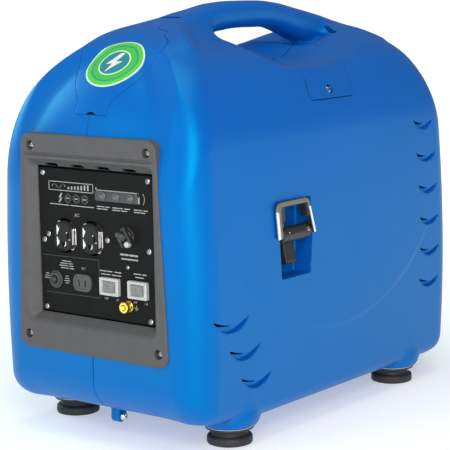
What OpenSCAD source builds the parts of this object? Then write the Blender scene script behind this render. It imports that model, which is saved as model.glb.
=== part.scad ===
// Suitcase-style inverter generator: two moulded half shells with a carrying
// handle, a recessed control panel, a draw latch on the right side, a hinged
// fuel lid, and the engine, alternator and tank that the shells enclose.
// Millimetres. The front (control panel) faces -Y, the latch side faces +X,
// +Z is up, and the origin is on the floor under the middle of the object.

/* [Body] */
// Half width of the shell at its widest, low on the sides
half_w = 142.5; // [141:0.5:143]
// Half length of the shell, front face to middle
half_l = 248; // [247:0.5:248.5]
// Height of the underside above the floor
belly_z = 36; // [34:1:37]
// Wall thickness of the moulded shells
wall = 3; // [2.4:0.2:3.2]
// Radius of the shell's lower edges
edge_r = 38; // [34:1:40]

/* [Handle] */
// Width of the carrying handle
handle_w = 37; // [34:1:40]
// Height of the scoop floor under the handle
scoop_z = 399; // [398:1:402]
// Slope of the scoop floor towards each side, in degrees
scoop_tilt = 10.5; // [9:0.1:11]

/* [Feet] */
// Sideways distance from the middle to a foot
foot_x = 108.7; // [106:0.1:110]
// Lengthways distance from the middle to a foot
foot_y = 158.6; // [150:0.1:165]
// Diameter of a rubber foot
foot_d = 48; // [44:1:50]
// Height of a rubber foot
foot_h = 19.5; // [18:0.5:20]

/* [Control panel] */
// Front plane of the grey bezel
bezel_y = -250.3; // [-250.8:0.1:-249.8]
// Front plane of the black control plate
plate_y = -239.5; // [-240:0.1:-239]
// Height of the middle of the control plate
plate_z = 211.5; // [210:0.5:213]

/* [Latch] */
// Lengthways middle of the latch
latch_y = -80.5; // [-84:0.5:-78]

/* [Hidden] */
$fn = 48;
eps = 0.01;

// Lever pivot and bail pivot of the latch, as [x, z]
LP = [121, 226];
LB = [133.5, 217];
// Crankshaft axis height
crank_z = 170;
// Recoil rope: distance from the crank axis, and its lengthways place
rope_r = 40;
rope_y = -173;
// Fuel lid hinge axis, as [y, z]
LH = [-111, 437.5];
// Filler cap centre, lengthways
cap_y = -172;
// Tail pipe height
tail_z = 235;

// Blend balls whose common hull is the body: [x, y, z, r], used at +x and -x
BALLS = [
    [half_w - edge_r - 0.4, -(half_l - edge_r - 0.4), belly_z + edge_r, edge_r],
    [half_w - edge_r - 0.4,   half_l - edge_r - 0.4,  belly_z + edge_r, edge_r],
    [half_w - 31, -(half_l - 31), 150, 31],
    [half_w - 31,   half_l - 31,  150, 31],
    [half_w - 37, -(half_l - 34), 250, 34],
    [half_w - 37,   half_l - 34,  250, 34],
    [half_w - 47, -(half_l - 40), 300, 40],
    [half_w - 47,   half_l - 40,  300, 40],
    [26, -142, 310, 106],
    [66, -171, 328, 71],
    [1, -142, 316, 106],
    [50, 172, 334, 76],
    [1, 172, 346, 76],
    [76, -100, 337, 50],
    [76, 120, 337, 50]];

// Crest of the handle and its two roots, seen from the side, as [y, z]
CREST = [[-172, 405], [-172, 419], [-162, 422.8], [-150, 426.2], [-138, 430], [-126, 435], [-114, 441],
         [-102, 446], [-90, 449.2], [-77, 452], [-54, 454.5], [-30, 455.3], [0, 456], [30, 455], [54, 453],
         [78, 449], [102, 444], [126, 439.5], [150, 435], [174, 430.8], [198, 424.5], [214, 414], [214, 404]];
// Underside of the handle bar, from the rear root forwards
UNDER = [[214, 395], [110, 395], [92, 405], [75, 412], [51, 419.5], [31, 424.5],
         [5, 428], [-27, 428], [-44, 426], [-60, 421], [-64, 412], [-66, 395],
         [-172, 395]];
// Half outline of the fuel lid on its own slanted plane, as [x, v]
LID_HALF = [[21.5, 74.5], [21.7, 83], [22.5, 88], [27, 93.5], [31, 98.5], [37.5, 108], [43, 119.5],
            [47.5, 132], [50.5, 144], [51.5, 153], [50, 162], [46.5, 170], [41, 178], [33, 185.5],
            [24, 192], [17.5, 198], [14.5, 204], [14, 210]];

// Places of the fasteners and fittings on the front, as [x, z]
BEZEL_SCREWS = [[-80.2, 313], [80.2, 313], [-90.5, 109.5], [90.5, 109.5]];
PLATE_SCREWS = [[-73, 283.5], [73, 283.5], [-73, 211.5], [73, 211.5], [-73, 139], [73, 139]];
OUTLETS = [[-45, 218], [-7, 218]];
OUTLET_SCREWS = [[-67.6, 218], [15.6, 218]];
LEDS = [[12, 263.5], [31, 263.5], [50, 263.5]];
LED_C = [32, 265.5];
AC_C = [43.4, 224];
DCB_C = [-57.6, 170];
DC_C = [-19, 169.5];
ECO_C = [19.4, 169.5];
ENG_C = [58, 169.5];
GND_C = [43.6, 152];

// ---------------------------------------------------------------- helpers

// Points of an arc from angle a0 to a1
function arc(cx, cy, r, a0, a1, n) =
    [for (i = [0:n]) let (a = a0 + (a1 - a0) * i / n) [cx + r * cos(a), cy + r * sin(a)]];

// Rounded rectangle outline about [cx, cy]
function rrect(cx, cy, w, h, r, n = 5) = concat(
    arc(cx + w / 2 - r, cy + h / 2 - r, r, 0, 90, n),
    arc(cx - w / 2 + r, cy + h / 2 - r, r, 90, 180, n),
    arc(cx - w / 2 + r, cy - h / 2 + r, r, 180, 270, n),
    arc(cx + w / 2 - r, cy - h / 2 + r, r, 270, 360, n));

function unit(v) = v / norm(v);

// Corner arc of radius r at p, between the neighbours a and b
function corner(a, p, b, r, n) =
    let (u = unit(a - p), v = unit(b - p), h = acos(u * v) / 2,
         c = p + unit(u + v) * r / sin(h),
         s = p + u * r / tan(h), e = p + v * r / tan(h),
         a0 = atan2(s[1] - c[1], s[0] - c[0]), a1 = atan2(e[1] - c[1], e[0] - c[0]),
         d = a1 - a0 > 180 ? a1 - a0 - 360 : a1 - a0 < -180 ? a1 - a0 + 360 : a1 - a0)
    [for (i = [0:n]) c + r * [cos(a0 + d * i / n), sin(a0 + d * i / n)]];

// Convex outline with rounded corners
function rounded(p, r, n = 5) =
    [for (i = [0:len(p) - 1]) each corner(p[(i + len(p) - 1) % len(p)], p[i], p[(i + 1) % len(p)], r, n)];

// Trapezium of the bezel, grown by g
function bezel_outline(g, r) = rounded([[-93.5 - g, 326 + g], [-105 - g, 95 - g], [105 + g, 95 - g], [93.5 + g, 326 + g]], r);

// Extrude an [x, z] outline along Y between two planes, y0 the front one
module front_plate(y0, y1) { translate([0, y1, 0]) rotate([90, 0, 0]) linear_extrude(y1 - y0) children(); }

// Extrude a [y, z] outline along X
module side_plate(x0, x1) { translate([x0, 0, 0]) rotate([90, 0, 90]) linear_extrude(x1 - x0) children(); }

// Cylinders along X and Y
module rod_x(x0, x1, r, y, z) { translate([x0, y, z]) rotate([0, 90, 0]) cylinder(h = x1 - x0, r = r); }
module rod_y(y0, y1, r, x, z) { translate([x, y1, z]) rotate([90, 0, 0]) cylinder(h = y1 - y0, r = r); }

// Box from two corners
module box(a, b) { translate(a) cube(b - a); }

// ---------------------------------------------------------------- body form

// The rounded body with a low rail along each side, drawn in by t all over
module body_hull(t) {
    hull() for (b = BALLS, s = [-1, 1]) translate([s * b[0], b[1], b[2]]) sphere(r = b[3] - t, $fn = 32);
    for (s = [-1, 1]) hull() for (y = [-1, 1]) {
        translate([s * (half_w - 23), y * (half_l - 46), belly_z + 13.5]) sphere(r = 20 - t, $fn = 32);
        translate([s * (half_w - 32.5), y * (half_l - 40), 90]) sphere(r = 31 - t, $fn = 32);
    }
}

// The two sloping scoops under the handle, grown by g
module scoops(g) {
    for (s = [0, 1]) mirror([s, 0, 0])
        translate([0, 0, scoop_z + 44]) rotate([0, scoop_tilt, 0])
            side_plate(-10, 170) polygon([for (i = [0:39]) [20 + (99 + g) * cos(i * 9), (44 + g) * sin(i * 9)]]);
}

// The handle bar with both roots
module handle_bar() { side_plate(-handle_w / 2, handle_w / 2) polygon(concat(CREST, UNDER)); }

// Boss over each foot
module foot_boss(x, y) {
    hull() {
        translate([x, y, foot_h]) cylinder(h = 1.5, r = 28.5, $fn = 32);
        translate([x, y, 27]) cylinder(h = 9, r = 32.5, $fn = 32);
        translate([x * 0.94, y, 42]) cylinder(h = 8, r = 30, $fn = 32);
    }
}

// Slanted prism over the fuel lid's outline, grown by g, ending at v1
module lid_prism(g, v1) {
    h = [for (p = LID_HALF) [p[0] + g, p[1] - (p[1] < 75 ? g : 0)]];
    rotate([45, 0, 0]) translate([0, 0, 372]) linear_extrude(90)
        polygon(concat(h, [[14 + g, v1], [-14 - g, v1]], [for (i = [len(h) - 1:-1:0]) [-h[i][0], h[i][1]]]));
}

// Service cover outline over the right shoulder, grown by g
module cover_zone(g) { box([36 - g, -23 - g, 350 - g], [160, 58 + g, 430]); }

// Louvre slots of one side: [y0, y1, z]
LOUVRES = [[-219, -168, 139], [-194, -150, 107], [-175, -131, 73],
           [158, 196, 312], [163, 200, 274], [167, 203, 236], [169, 205, 198], [170, 205, 160], [169, 204, 121]];

// Whole moulded skin, before it is split along the middle
module skin() {
    difference() {
        union() {
            difference() {
                union() { body_hull(0); handle_bar(); for (x = [-1, 1], y = [-1, 1]) foot_boss(x * foot_x, y * foot_y); lug(); }
                difference() { scoops(0); handle_bar(); }
                difference() { body_hull(wall); scoops(wall); inner_walls(); }
            }
        }
        // hollow of the handle bar
        side_plate(-handle_w / 2 + 4, handle_w / 2 - 4) polygon([[-50, 431], [-27, 432.5], [5, 432.5], [31, 429], [51, 424],
            [75, 417], [100, 412], [100, 440], [70, 446.5], [32, 450.5], [0, 451.5], [-42, 450.5], [-70, 446]]);
        // panel opening, fuel lid opening, service cover opening
        front_plate(-262, -232) polygon(panel_hole(0.6));
        lid_prism(0.6, 237);
        cover_zone(0.4);
        // latch pocket, starter pocket, choke dish
        latch_pocket(0);
        starter_pocket(0);
        rod_x(-160, -126, 15, -100, 210);
        rod_x(-130, -110, 3.4, -100, 210);
        rod_x(-120, -100, 6, rope_y, crank_z + rope_r);
        // rear exhaust opening
        rod_y(225, 262, 44, 0, tail_z);
        // louvre slots
        for (l = LOUVRES, s = [-1, 1]) translate([s > 0 ? 100 : -160, l[0], l[2] - 2.5]) cube([60, l[1] - l[0], 5]);
        // fastener holes
        for (x = [-1, 1], y = [-1, 1]) translate([x * foot_x, y * foot_y, 0]) cylinder(h = 60, r = 4.6);
        rod_x(-24, 24, 1.6, LH[0], LH[1]);
        rod_x(-20, 20, 2.9, -210, 30.5);
        for (p = BEZEL_SCREWS) rod_y(-260, -234, 2.6, p[0], p[1]);
        for (a = [45, 135, 225, 315]) rod_y(235, 262, 2.1, 53 * cos(a), tail_z + 53 * sin(a));
    }
}

// Opening for the panel tub, grown by g
function panel_hole(g) = rounded([[-88 - g, 306 + g], [-94 - g, 120 - g], [94 + g, 120 - g], [88 + g, 306 + g]], 8);

// Pockets let into the sides; w is the wall added around them
module latch_pocket(w) {
    hull() for (y = [latch_y - 23, latch_y + 23], z = [172, 251.5])
        rod_x(112 - w, w > 0 ? 150 : 165, 6.5 + w, y, z, $fn = 24);
}
module starter_pocket(w) {
    hull() for (y = [rope_y - 27, rope_y + 27], z = [203, 217])
        rod_x(w > 0 ? -150 : -165, -116 + w, 8 + w, y, z, $fn = 24);
}
// Walls inside the shells: pockets, choke dish, foot posts
module inner_walls() {
    latch_pocket(wall);
    starter_pocket(wall);
    rod_x(-150, -123, 18, -100, 210);
    for (x = [-1, 1], y = [-1, 1]) translate([x * foot_x, y * foot_y, 34]) cylinder(h = 10, r = 12);
}
// Lug under the front edge of the middle seam
module lug() {
    hull() { rod_x(-8, 8, 5.5, -210, 30.5, $fn = 24); box([-8, -218, 36], [8, -196, 44]); }
}

// ---------------------------------------------------------------- shells and covers

module right_shell() color("royalblue") intersection() { skin(); box([0, -300, -10], [300, 300, 500]); }
module left_shell() color("royalblue") intersection() { skin(); box([-300, -300, -10], [0, 300, 500]); }

// Cover over the spark plug, on the right shoulder of the scoop
module service_cover() color("royalblue") difference() {
    intersection() {
        difference() {
            body_hull(0);
            scoops(0);
            difference() { body_hull(wall); scoops(wall); }
            // eased lower corners and edges of the tab
            for (y = [-23, 58]) hull() for (z = [350, 420]) translate([140, y, z]) rotate([0, 0, 45]) cube([60, 0.8, 0.8], center = true);
            for (y = [-23, 58]) hull() for (z = [350, 384]) translate([130, y, z]) rotate([0, 0, 45]) cube([40, 0.8, 0.8], center = true);
            for (y = [-23, 58]) translate([100, y, 350]) rotate([45, 0, 0]) translate([0, -7, -7]) cube([60, 14, 14]);
        }
        cover_zone(0);
    }
    cover_screw_axis() translate([0, 0, -30]) cylinder(h = 60, r = 2.6);
}
// Frame of the cover's screw: +Z out of the shoulder
module cover_screw_axis() { translate([117.6, 17.3, 360]) rotate([0, 60, 0]) children(); }

// Its screw
module service_cover_screw() color("silver") cover_screw_axis() difference() {
    union() { translate([0, 0, -14]) cylinder(h = 15, r = 2.2); translate([0, 0, 0.6]) cylinder(h = 2.2, r = 4.6); }
    box([-3.2, -0.6, 1.8], [3.2, 0.6, 4]);
    box([-0.6, -3.2, 1.8], [0.6, 3.2, 4]);
}

// Grey frame around the control plate
module panel_bezel() color("dimgray") difference() {
    union() {
        front_plate(bezel_y, -half_l) polygon(bezel_outline(0, 13));
        front_plate(-half_l, -233) polygon(panel_hole(0));
    }
    // sloping walls of the recess
    hull() {
        front_plate(bezel_y - 1, bezel_y) polygon(rounded([[-84, 302], [-89, 127], [89, 127], [84, 302]], 6));
        front_plate(plate_y - 0.2, plate_y) polygon(rrect(0, plate_z, 157.5, 153, 4));
    }
    front_plate(plate_y - 0.1, plate_y + 2.5) polygon(rrect(0, plate_z, 157.5, 153, 4));
    front_plate(plate_y, -230) polygon(rrect(0, plate_z, 138, 138, 4));
    front_plate(plate_y + 2, -230) polygon(rrect(-26, 218, 91, 10.5, 3.5));
    for (p = BEZEL_SCREWS) { rod_y(-262, -230, 2.6, p[0], p[1]); rod_y(-262, bezel_y + 1.2, 5.6, p[0], p[1]); }
    for (p = PLATE_SCREWS) rod_y(-240, -230, 1.55, p[0], p[1]);
    // four vent slots in the top of the recess
    for (x = [-54, -18, 18, 54]) box([x - 8, -247, 293], [x + 8, -230, 297]);
}

// A pan-head screw along Y: its head's front at y0, shank back to y1
module pan_screw(x, z, y0, y1, rh, rs) {
    difference() {
        union() { rod_y(y0, y0 + 2, rh, x, z); rod_y(y0 + 2 - eps, y1, rs, x, z); }
        box([x - rh * 0.7, y0 - 1, z - 0.6], [x + rh * 0.7, y0 + 0.9, z + 0.6]);
        box([x - 0.6, y0 - 1, z - rh * 0.7], [x + 0.6, y0 + 0.9, z + rh * 0.7]);
    }
}
module bezel_screws() color("silver") for (p = BEZEL_SCREWS) pan_screw(p[0], p[1], bezel_y - 0.85, -238, 5, 2.5);
module plate_screws() color("silver") for (p = PLATE_SCREWS) pan_screw(p[0], p[1], plate_y - 2, -234, 3.6, 1.5);

// Black control plate with its cut-outs
module control_plate() color([0.13, 0.13, 0.14]) difference() {
    front_plate(plate_y, plate_y + 2.5) polygon(rrect(0, plate_z, 156.5, 152, 3.6));
    for (p = PLATE_SCREWS) rod_y(-260, -230, 1.7, p[0], p[1]);
    for (p = OUTLETS) front_plate(-260, -230) polygon(outlet_face(p, 0.3));
    for (p = OUTLET_SCREWS) rod_y(-260, -230, 2.0, p[0], p[1]);
    front_plate(-260, -230) polygon(rrect(LED_C[0], LED_C[1], 56.6, 8.6, 1));
    rod_y(-260, -230, 8.3, AC_C[0], AC_C[1]);
    rod_y(-260, -230, 6.3, DCB_C[0], DCB_C[1]);
    front_plate(-260, -230) polygon(rrect(DC_C[0], DC_C[1], 21.6, 15.6, 3));
    for (c = [ECO_C, ENG_C]) front_plate(-260, -230) polygon(rrect(c[0], c[1], 22.6, 14.6, 1));
    rod_y(-260, -230, 3.6, GND_C[0], GND_C[1]);
}

// Outline of one outlet face: flat sides, rounded top and bottom
function outlet_face(p, g) = concat(
    arc(p[0], p[1], 17.2 + g, 56, 124, 10), arc(p[0], p[1], 17.2 + g, 236, 304, 10));

// Duplex outlet behind the plate, its two faces showing
module duplex_receptacle() color([0.08, 0.08, 0.09]) difference() {
    union() {
        for (p = OUTLETS) front_plate(plate_y - 1.6, plate_y + 4) polygon(outlet_face(p, 0));
        front_plate(plate_y + 2.6, plate_y + 28) polygon(rrect(-26, 218, 66, 36, 4));
        front_plate(plate_y + 2.6, plate_y + 4.4) polygon(rrect(-26, 218, 89.2, 9, 3));
    }
    for (p = OUTLETS) {
        box([p[0] - 4.2, -262, p[1] + 5.3], [p[0] + 4.2, plate_y + 12, p[1] + 7.3]);
        box([p[0] - 3.4, -262, p[1] - 7.3], [p[0] + 3.4, plate_y + 12, p[1] - 5.3]);
        rod_y(-262, plate_y + 12, 2.5, p[0] + 9.5, p[1]);
    }
    for (p = OUTLET_SCREWS) rod_y(-262, plate_y + 20, 1.8, p[0], p[1]);
}
module receptacle_screws() color("silver") for (p = OUTLET_SCREWS) pan_screw(p[0], p[1], plate_y - 2, plate_y + 8, 3.6, 1.7);

// 12 volt outlet with two slanting blades' slots
module dc_outlet() color([0.1, 0.1, 0.11]) difference() {
    union() {
        front_plate(plate_y - 2.4, plate_y) polygon(rrect(DC_C[0], DC_C[1], 25, 18.6, 4.5));
        front_plate(plate_y, plate_y + 22) polygon(rrect(DC_C[0], DC_C[1], 21, 15, 3));
    }
    for (s = [-1, 1]) translate([DC_C[0] + s * 4.8, plate_y - 4, DC_C[1]]) rotate([0, s * 25, 0]) translate([-0.8, 0, -3.6]) cube([1.6, 16, 7.2]);
}

// Lamp block and its three lenses
module led_block() color([0.16, 0.16, 0.17]) difference() {
    union() {
        front_plate(plate_y - 1.8, plate_y) polygon(rrect(LED_C[0], LED_C[1], 60, 11.4, 2));
        front_plate(plate_y, plate_y + 9) polygon(rrect(LED_C[0], LED_C[1], 56, 8, 1));
    }
    for (p = LEDS) rod_y(-262, plate_y + 6, 2.3, p[0], p[1]);
}
module led_lenses() color("darkgreen") for (p = LEDS) {
    rod_y(plate_y - 2.2, plate_y + 4, 2.2, p[0], p[1]);
    intersection() { translate([p[0], plate_y - 1.0, p[1]]) sphere(r = 2.5); rod_y(plate_y - 5, plate_y - 2.2 + eps, 2.2, p[0], p[1]); }
}

// Bezels of the two rocker switches
module switch_frames() color("lightgray") for (c = [ECO_C, ENG_C]) difference() {
    union() {
        front_plate(plate_y - 2.2, plate_y) polygon(rrect(c[0], c[1], 25.4, 18, 2));
        front_plate(plate_y, plate_y + 20) polygon(rrect(c[0], c[1], 22, 14, 0.8));
    }
    front_plate(-262, plate_y + 12) polygon(rrect(c[0], c[1], 19, 11.8, 0.5));
    // trunnion seats
    translate([c[0], plate_y + 1.6, c[1] - 6.6]) cylinder(h = 13.2, r = 1.05);
}
// One rocker on its trunnions, leaning to the left at rest
module rocker(c) {
    translate([c[0], plate_y + 1.6, c[1]]) rotate([0, 0, -8]) {
        translate([0, 0, -5.5]) linear_extrude(11)
            polygon([[-8.5, -3.4], [-4.5, -3.0], [0, -2.4], [4.5, -3.0], [8.5, -3.4], [8.3, 2], [4, 5.5], [-4, 5.5], [-8.3, 2]]);
        translate([0, 0, -6.4]) cylinder(h = 12.8, r = 1);
    }
}
module idle_rocker() color([0.1, 0.1, 0.11]) rocker(ECO_C);
module engine_rocker() color([0.1, 0.1, 0.11]) rocker(ENG_C);

// Breakers: a threaded collar in the plate and a push button in it
module breaker_collar(c, r, rb, l) difference() {
    union() { rod_y(plate_y - 3, plate_y, r, c[0], c[1]); rod_y(plate_y - eps, plate_y + l, r - 4, c[0], c[1]); }
    rod_y(-262, plate_y + l - 3, rb + 0.05, c[0], c[1]);
}
module ac_breaker_collar() color([0.12, 0.12, 0.13]) breaker_collar(AC_C, 12, 6, 24);
module ac_breaker_button() color([0.07, 0.07, 0.08]) {
    rod_y(plate_y - 9.6, plate_y + 14, 6, AC_C[0], AC_C[1]);
}
module dc_breaker_collar() color([0.12, 0.12, 0.13]) breaker_collar(DCB_C, 9.5, 4.2, 20);
module dc_breaker_button() color([0.07, 0.07, 0.08]) rod_y(plate_y - 7, plate_y + 12, 4.2, DCB_C[0], DCB_C[1]);

// Earth terminal: stud with its lock nut, and the wing-less brass nut on it
module ground_stud() color("goldenrod") {
    rod_y(plate_y - 10.4, plate_y + 12, 3, GND_C[0], GND_C[1]);
    difference() { union() {
        rod_y(plate_y - 1.4, plate_y, 6.4, GND_C[0], GND_C[1]);
        translate([GND_C[0], plate_y + 6.5, GND_C[1]]) rotate([90, 0, 0]) cylinder(h = 4, r = 5.8, $fn = 6); }
        rod_y(plate_y - 20, plate_y + 20, 2.9, GND_C[0], GND_C[1]); }
}
module ground_nut() color("gold") difference() {
    translate([GND_C[0], plate_y - 1.8, GND_C[1]]) rotate([90, 0, 0]) cylinder(h = 6, r = 6.4, $fn = 6);
    rod_y(plate_y - 20, plate_y + 20, 3.05, GND_C[0], GND_C[1]);
}

// ---------------------------------------------------------------- fuel lid, tank, cap

// Outer and inner line of the lid's skin, seen from the side
LID_OUT = concat(arc(-142, 316, 106, 166, 106, 14), [[-162, 422.3], [-150, 426.2], [-138, 430], [-126, 435], [-114, 441], [-106, 444.4]]);
LID_IN = concat([[-105, 441.5], [-113, 438.1], [-125, 432.1], [-137, 427.1], [-149, 423.3], [-161, 419.4]], arc(-142, 316, 103, 106, 166, 14));

module fuel_lid() color("royalblue") difference() {
    union() {
        intersection() {
            side_plate(-50, 50) polygon(concat(LID_OUT, LID_IN));
            lid_prism(0, 232.5);
        }
        rod_x(-13.6, 13.6, 3.5, LH[0], LH[1]);
    }
    rod_x(-20, 20, 1.55, LH[0], LH[1]);
    // finger notch in the lower edge
    translate([0, -246, 340.5]) rotate([0, 90, 90]) translate([0, 0, -10]) cylinder(h = 24, r = 7.5);
}
module lid_hinge_pin() color("silver") rod_x(-17.5, 17.5, 1.5, LH[0], LH[1]);

module fuel_tank() color([0.2, 0.2, 0.21]) difference() {
    union() {
        translate([0, 0, 262]) linear_extrude(88) polygon(rrect(0, -130, 200, 136, 18));
        translate([0, cap_y, 350 - eps]) cylinder(h = 22, r = 20);
    }
    translate([0, 0, 264.5]) linear_extrude(83) polygon(rrect(0, -130, 195, 131, 16));
    translate([0, cap_y, 340]) cylinder(h = 40, r = 17);
}
// Rubber tray around the filler neck
module filler_boot() color([0.09, 0.09, 0.09]) difference() {
    union() { translate([0, cap_y, 350.2]) cylinder(h = 3, r = 52); translate([0, cap_y, 350.2]) cylinder(h = 7, r = 24); }
    translate([0, cap_y, 349]) cylinder(h = 20, r = 20.2);
}
module fuel_cap() color([0.12, 0.12, 0.13]) difference() {
    union() {
        translate([0, cap_y, 359]) cylinder(h = 21, r = 27);
        for (i = [0:11]) rotate_cap(i * 30) translate([26.6, 0, 360]) cylinder(h = 19, r = 1.6, $fn = 24);
    }
    translate([0, cap_y, 358]) cylinder(h = 14.6, r = 20.08);
}
module rotate_cap(a) translate([0, cap_y, 0]) rotate([0, 0, a]) children();

// ---------------------------------------------------------------- draw latch

// Back plate with two ears for the lever's pin
module latch_base() color([0.2, 0.2, 0.21]) difference() {
    union() {
        box([112.3, latch_y - 26, 174], [114.6, latch_y + 26, 244]);
        for (s = [-1, 1]) {
            box([114.5, latch_y + s * 20.75 - 1.75, LP[1] - 5], [LP[0], latch_y + s * 20.75 + 1.75, LP[1] + 5]);
            rod_y(latch_y + s * 20.75 - 1.75, latch_y + s * 20.75 + 1.75, 5, LP[0], LP[1]);
        }
    }
    rod_y(latch_y - 30, latch_y + 30, 2.02, LP[0], LP[1]);
}
module latch_pivot_pin() color("silver") rod_y(latch_y - 23.2, latch_y + 23.2, 2, LP[0], LP[1]);

// Lever: hub on the pin, roller barrel for the bail, paddle for the fingers
module latch_lever() color([0.1, 0.1, 0.1]) difference() {
    union() {
        rod_y(latch_y - 18, latch_y + 18, 5.5, LP[0], LP[1]);
        rod_y(latch_y - 18, latch_y + 18, 8.5, LB[0], LB[1]);
        // web between hub and barrel, and the paddle below it
        translate([0, latch_y + 15, 0]) rotate([90, 0, 0]) linear_extrude(30)
            polygon([[123.5, 229.5], [137.5, 220.5], [131, 205], [134.5, 188], [133.5, 185], [130, 184.6], [127.5, 188], [121.5, 214], [118.5, 223.5]]);
    }
    rod_y(latch_y - 40, latch_y + 40, 2.05, LP[0], LP[1]);
    rod_y(latch_y - 40, latch_y + 40, 2.05, LB[0], LB[1]);
}

// Bail: two cheeks, the crown that hooks over the catch, and its pin
module latch_bail() color("silver") {
    for (s = [-1, 1]) translate([0, latch_y + s * 25 + 2, 0]) rotate([90, 0, 0]) linear_extrude(4)
        polygon(concat(arc(LB[0], LB[1], 5, 160, 350, 10), [[144.5, 238], [144.5, 248], [141.5, 251.5], [135.5, 251.5], [135.5, 238]]));
    box([135.5, latch_y - 23.2, 246.5], [144.5, latch_y + 23.2, 251.5]);
    rod_y(latch_y - 23.1, latch_y + 23.1, 2, LB[0], LB[1]);
}

// ---------------------------------------------------------------- feet and outside fasteners

module rubber_feet() color([0.12, 0.12, 0.12]) for (x = [-1, 1], y = [-1, 1]) translate([x * foot_x, y * foot_y, 0])
    rotate_extrude() polygon([[9.5, 0], [foot_d / 2 - 1.5, 0], [foot_d / 2, 1.5], [foot_d / 2, 7.5], [foot_d / 2 - 1.5, 9],
        [foot_d / 2 - 5, 9.6], [foot_d / 2 - 5.5, 15.5], [foot_d / 2 + 2, 16.6], [foot_d / 2 + 2.5, foot_h - 1], [foot_d / 2 + 2, foot_h],
        [4.6, foot_h], [4.6, 8], [9.5, 8]]);
module foot_bolts() color("silver") for (x = [-1, 1], y = [-1, 1]) translate([x * foot_x, y * foot_y, 0]) {
    translate([0, 0, 3]) cylinder(h = 5, r = 8.5, $fn = 6);
    translate([0, 0, 8 - eps]) cylinder(h = 44, r = 4);
}
module seam_screw() color("silver") {
    rod_x(-9, 8, 2.5, -210, 30.5);
    difference() { rod_x(8 + 0.02, 11, 4.8, -210, 30.5); box([10, -215, 29.9], [12, -205, 31.1]); }
}

// Perforated plate over the exhaust outlet at the back
module exhaust_guard() color([0.3, 0.3, 0.31]) difference() {
    union() { rod_y(half_l + 0.1, -bezel_y, 60, 0, tail_z); }
    rod_y(200, 262, 17, 0, tail_z);
    for (r = [25, 34], i = [0:11]) rod_y(200, 262, 3.2, r * cos(i * 30 + r), tail_z + r * sin(i * 30 + r));
    for (a = [45, 135, 225, 315]) rod_y(235, 262, 2.1, 53 * cos(a), tail_z + 53 * sin(a));
}
module guard_screws() color("silver") for (a = [45, 135, 225, 315]) rod_y(238, -bezel_y - 0.1, 2.0, 53 * cos(a), tail_z + 53 * sin(a));

// ---------------------------------------------------------------- inside

// Exhaust box with its pipe from the head and its tail pipe
module muffler() color([0.45, 0.44, 0.43]) {
    difference() {
        union() {
            translate([0, 120, 0]) rotate([-90, 0, 0]) mirror([0, 1, 0]) linear_extrude(110) polygon(rrect(0, 235, 176, 124, 24));
            rod_y(28.2, 156, 11, 0, 334);
            translate([0, 145, 290]) cylinder(h = 55, r = 11);
            rod_y(229, 249, 15, 0, tail_z);
        }
        translate([0, 122, 0]) rotate([-90, 0, 0]) mirror([0, 1, 0]) linear_extrude(106) polygon(rrect(0, 235, 172, 120, 22));
        rod_y(200, 262, 12, 0, tail_z);
        rod_y(20, 145, 8, 0, 334);
        translate([0, 145, 280]) cylinder(h = 54, r = 8);
    }
}
module base_tray() color([0.35, 0.35, 0.36]) difference() {
    translate([0, 0, 44]) linear_extrude(4) polygon(rrect(0, 0, 224, 444, 12));
    for (x = [-1, 1], y = [-1, 1]) translate([x * foot_x, y * foot_y, 30]) cylinder(h = 40, r = 4.2);
    for (y = [90, 150]) translate([0, y, 40]) linear_extrude(20) polygon(rrect(0, 0, 120, 30, 8));
}
// Square posts that carry the tank
module frame_posts() color([0.35, 0.35, 0.36]) for (x = [-95, 95], y = [-190, -80]) difference() {
    box([x - 6, y - 6, 48], [x + 6, y + 6, 262]);
    box([x - 4.5, y - 4.5, 47], [x + 4.5, y + 4.5, 263]);
}
module engine_mounts() color([0.1, 0.1, 0.1]) for (x = [-50, 50], y = [-48, 40]) translate([x, y, 48])
    rotate_extrude() polygon([[0, 0], [14, 0], [14, 8], [11, 22], [14, 36], [14, 44], [0, 44]]);

module crankcase() color([0.6, 0.6, 0.62]) difference() {
    union() {
        front_plate(-68, 58) polygon(rrect(0, crank_z, 116, 132, 20));
        translate([0, 0, 92]) linear_extrude(20) polygon(rrect(0, -5, 136, 118, 8));
    }
    front_plate(-56, 46) polygon(rrect(0, crank_z, 96, 108, 12));
    rod_y(-80, 70, 17, 0, crank_z);
    translate([0, -7, 200]) cylinder(h = 60, r = 21);
}
module main_bearings() color("silver") for (y = [-67, 46.5]) difference() {
    rod_y(y, y + 10, 16.95, 0, crank_z);
    rod_y(y - 1, y + 11, 10.05, 0, crank_z);
}
module crankshaft() color("lightgray") {
    rod_y(-142, -19, 10, 0, crank_z);
    rod_y(5, 75, 10, 0, crank_z);
    rod_y(-31, -18, 38, 0, crank_z);
    rod_y(4, 17, 38, 0, crank_z);
    rod_y(-18.5, 4.5, 8, 0, crank_z + 20);
}
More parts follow.
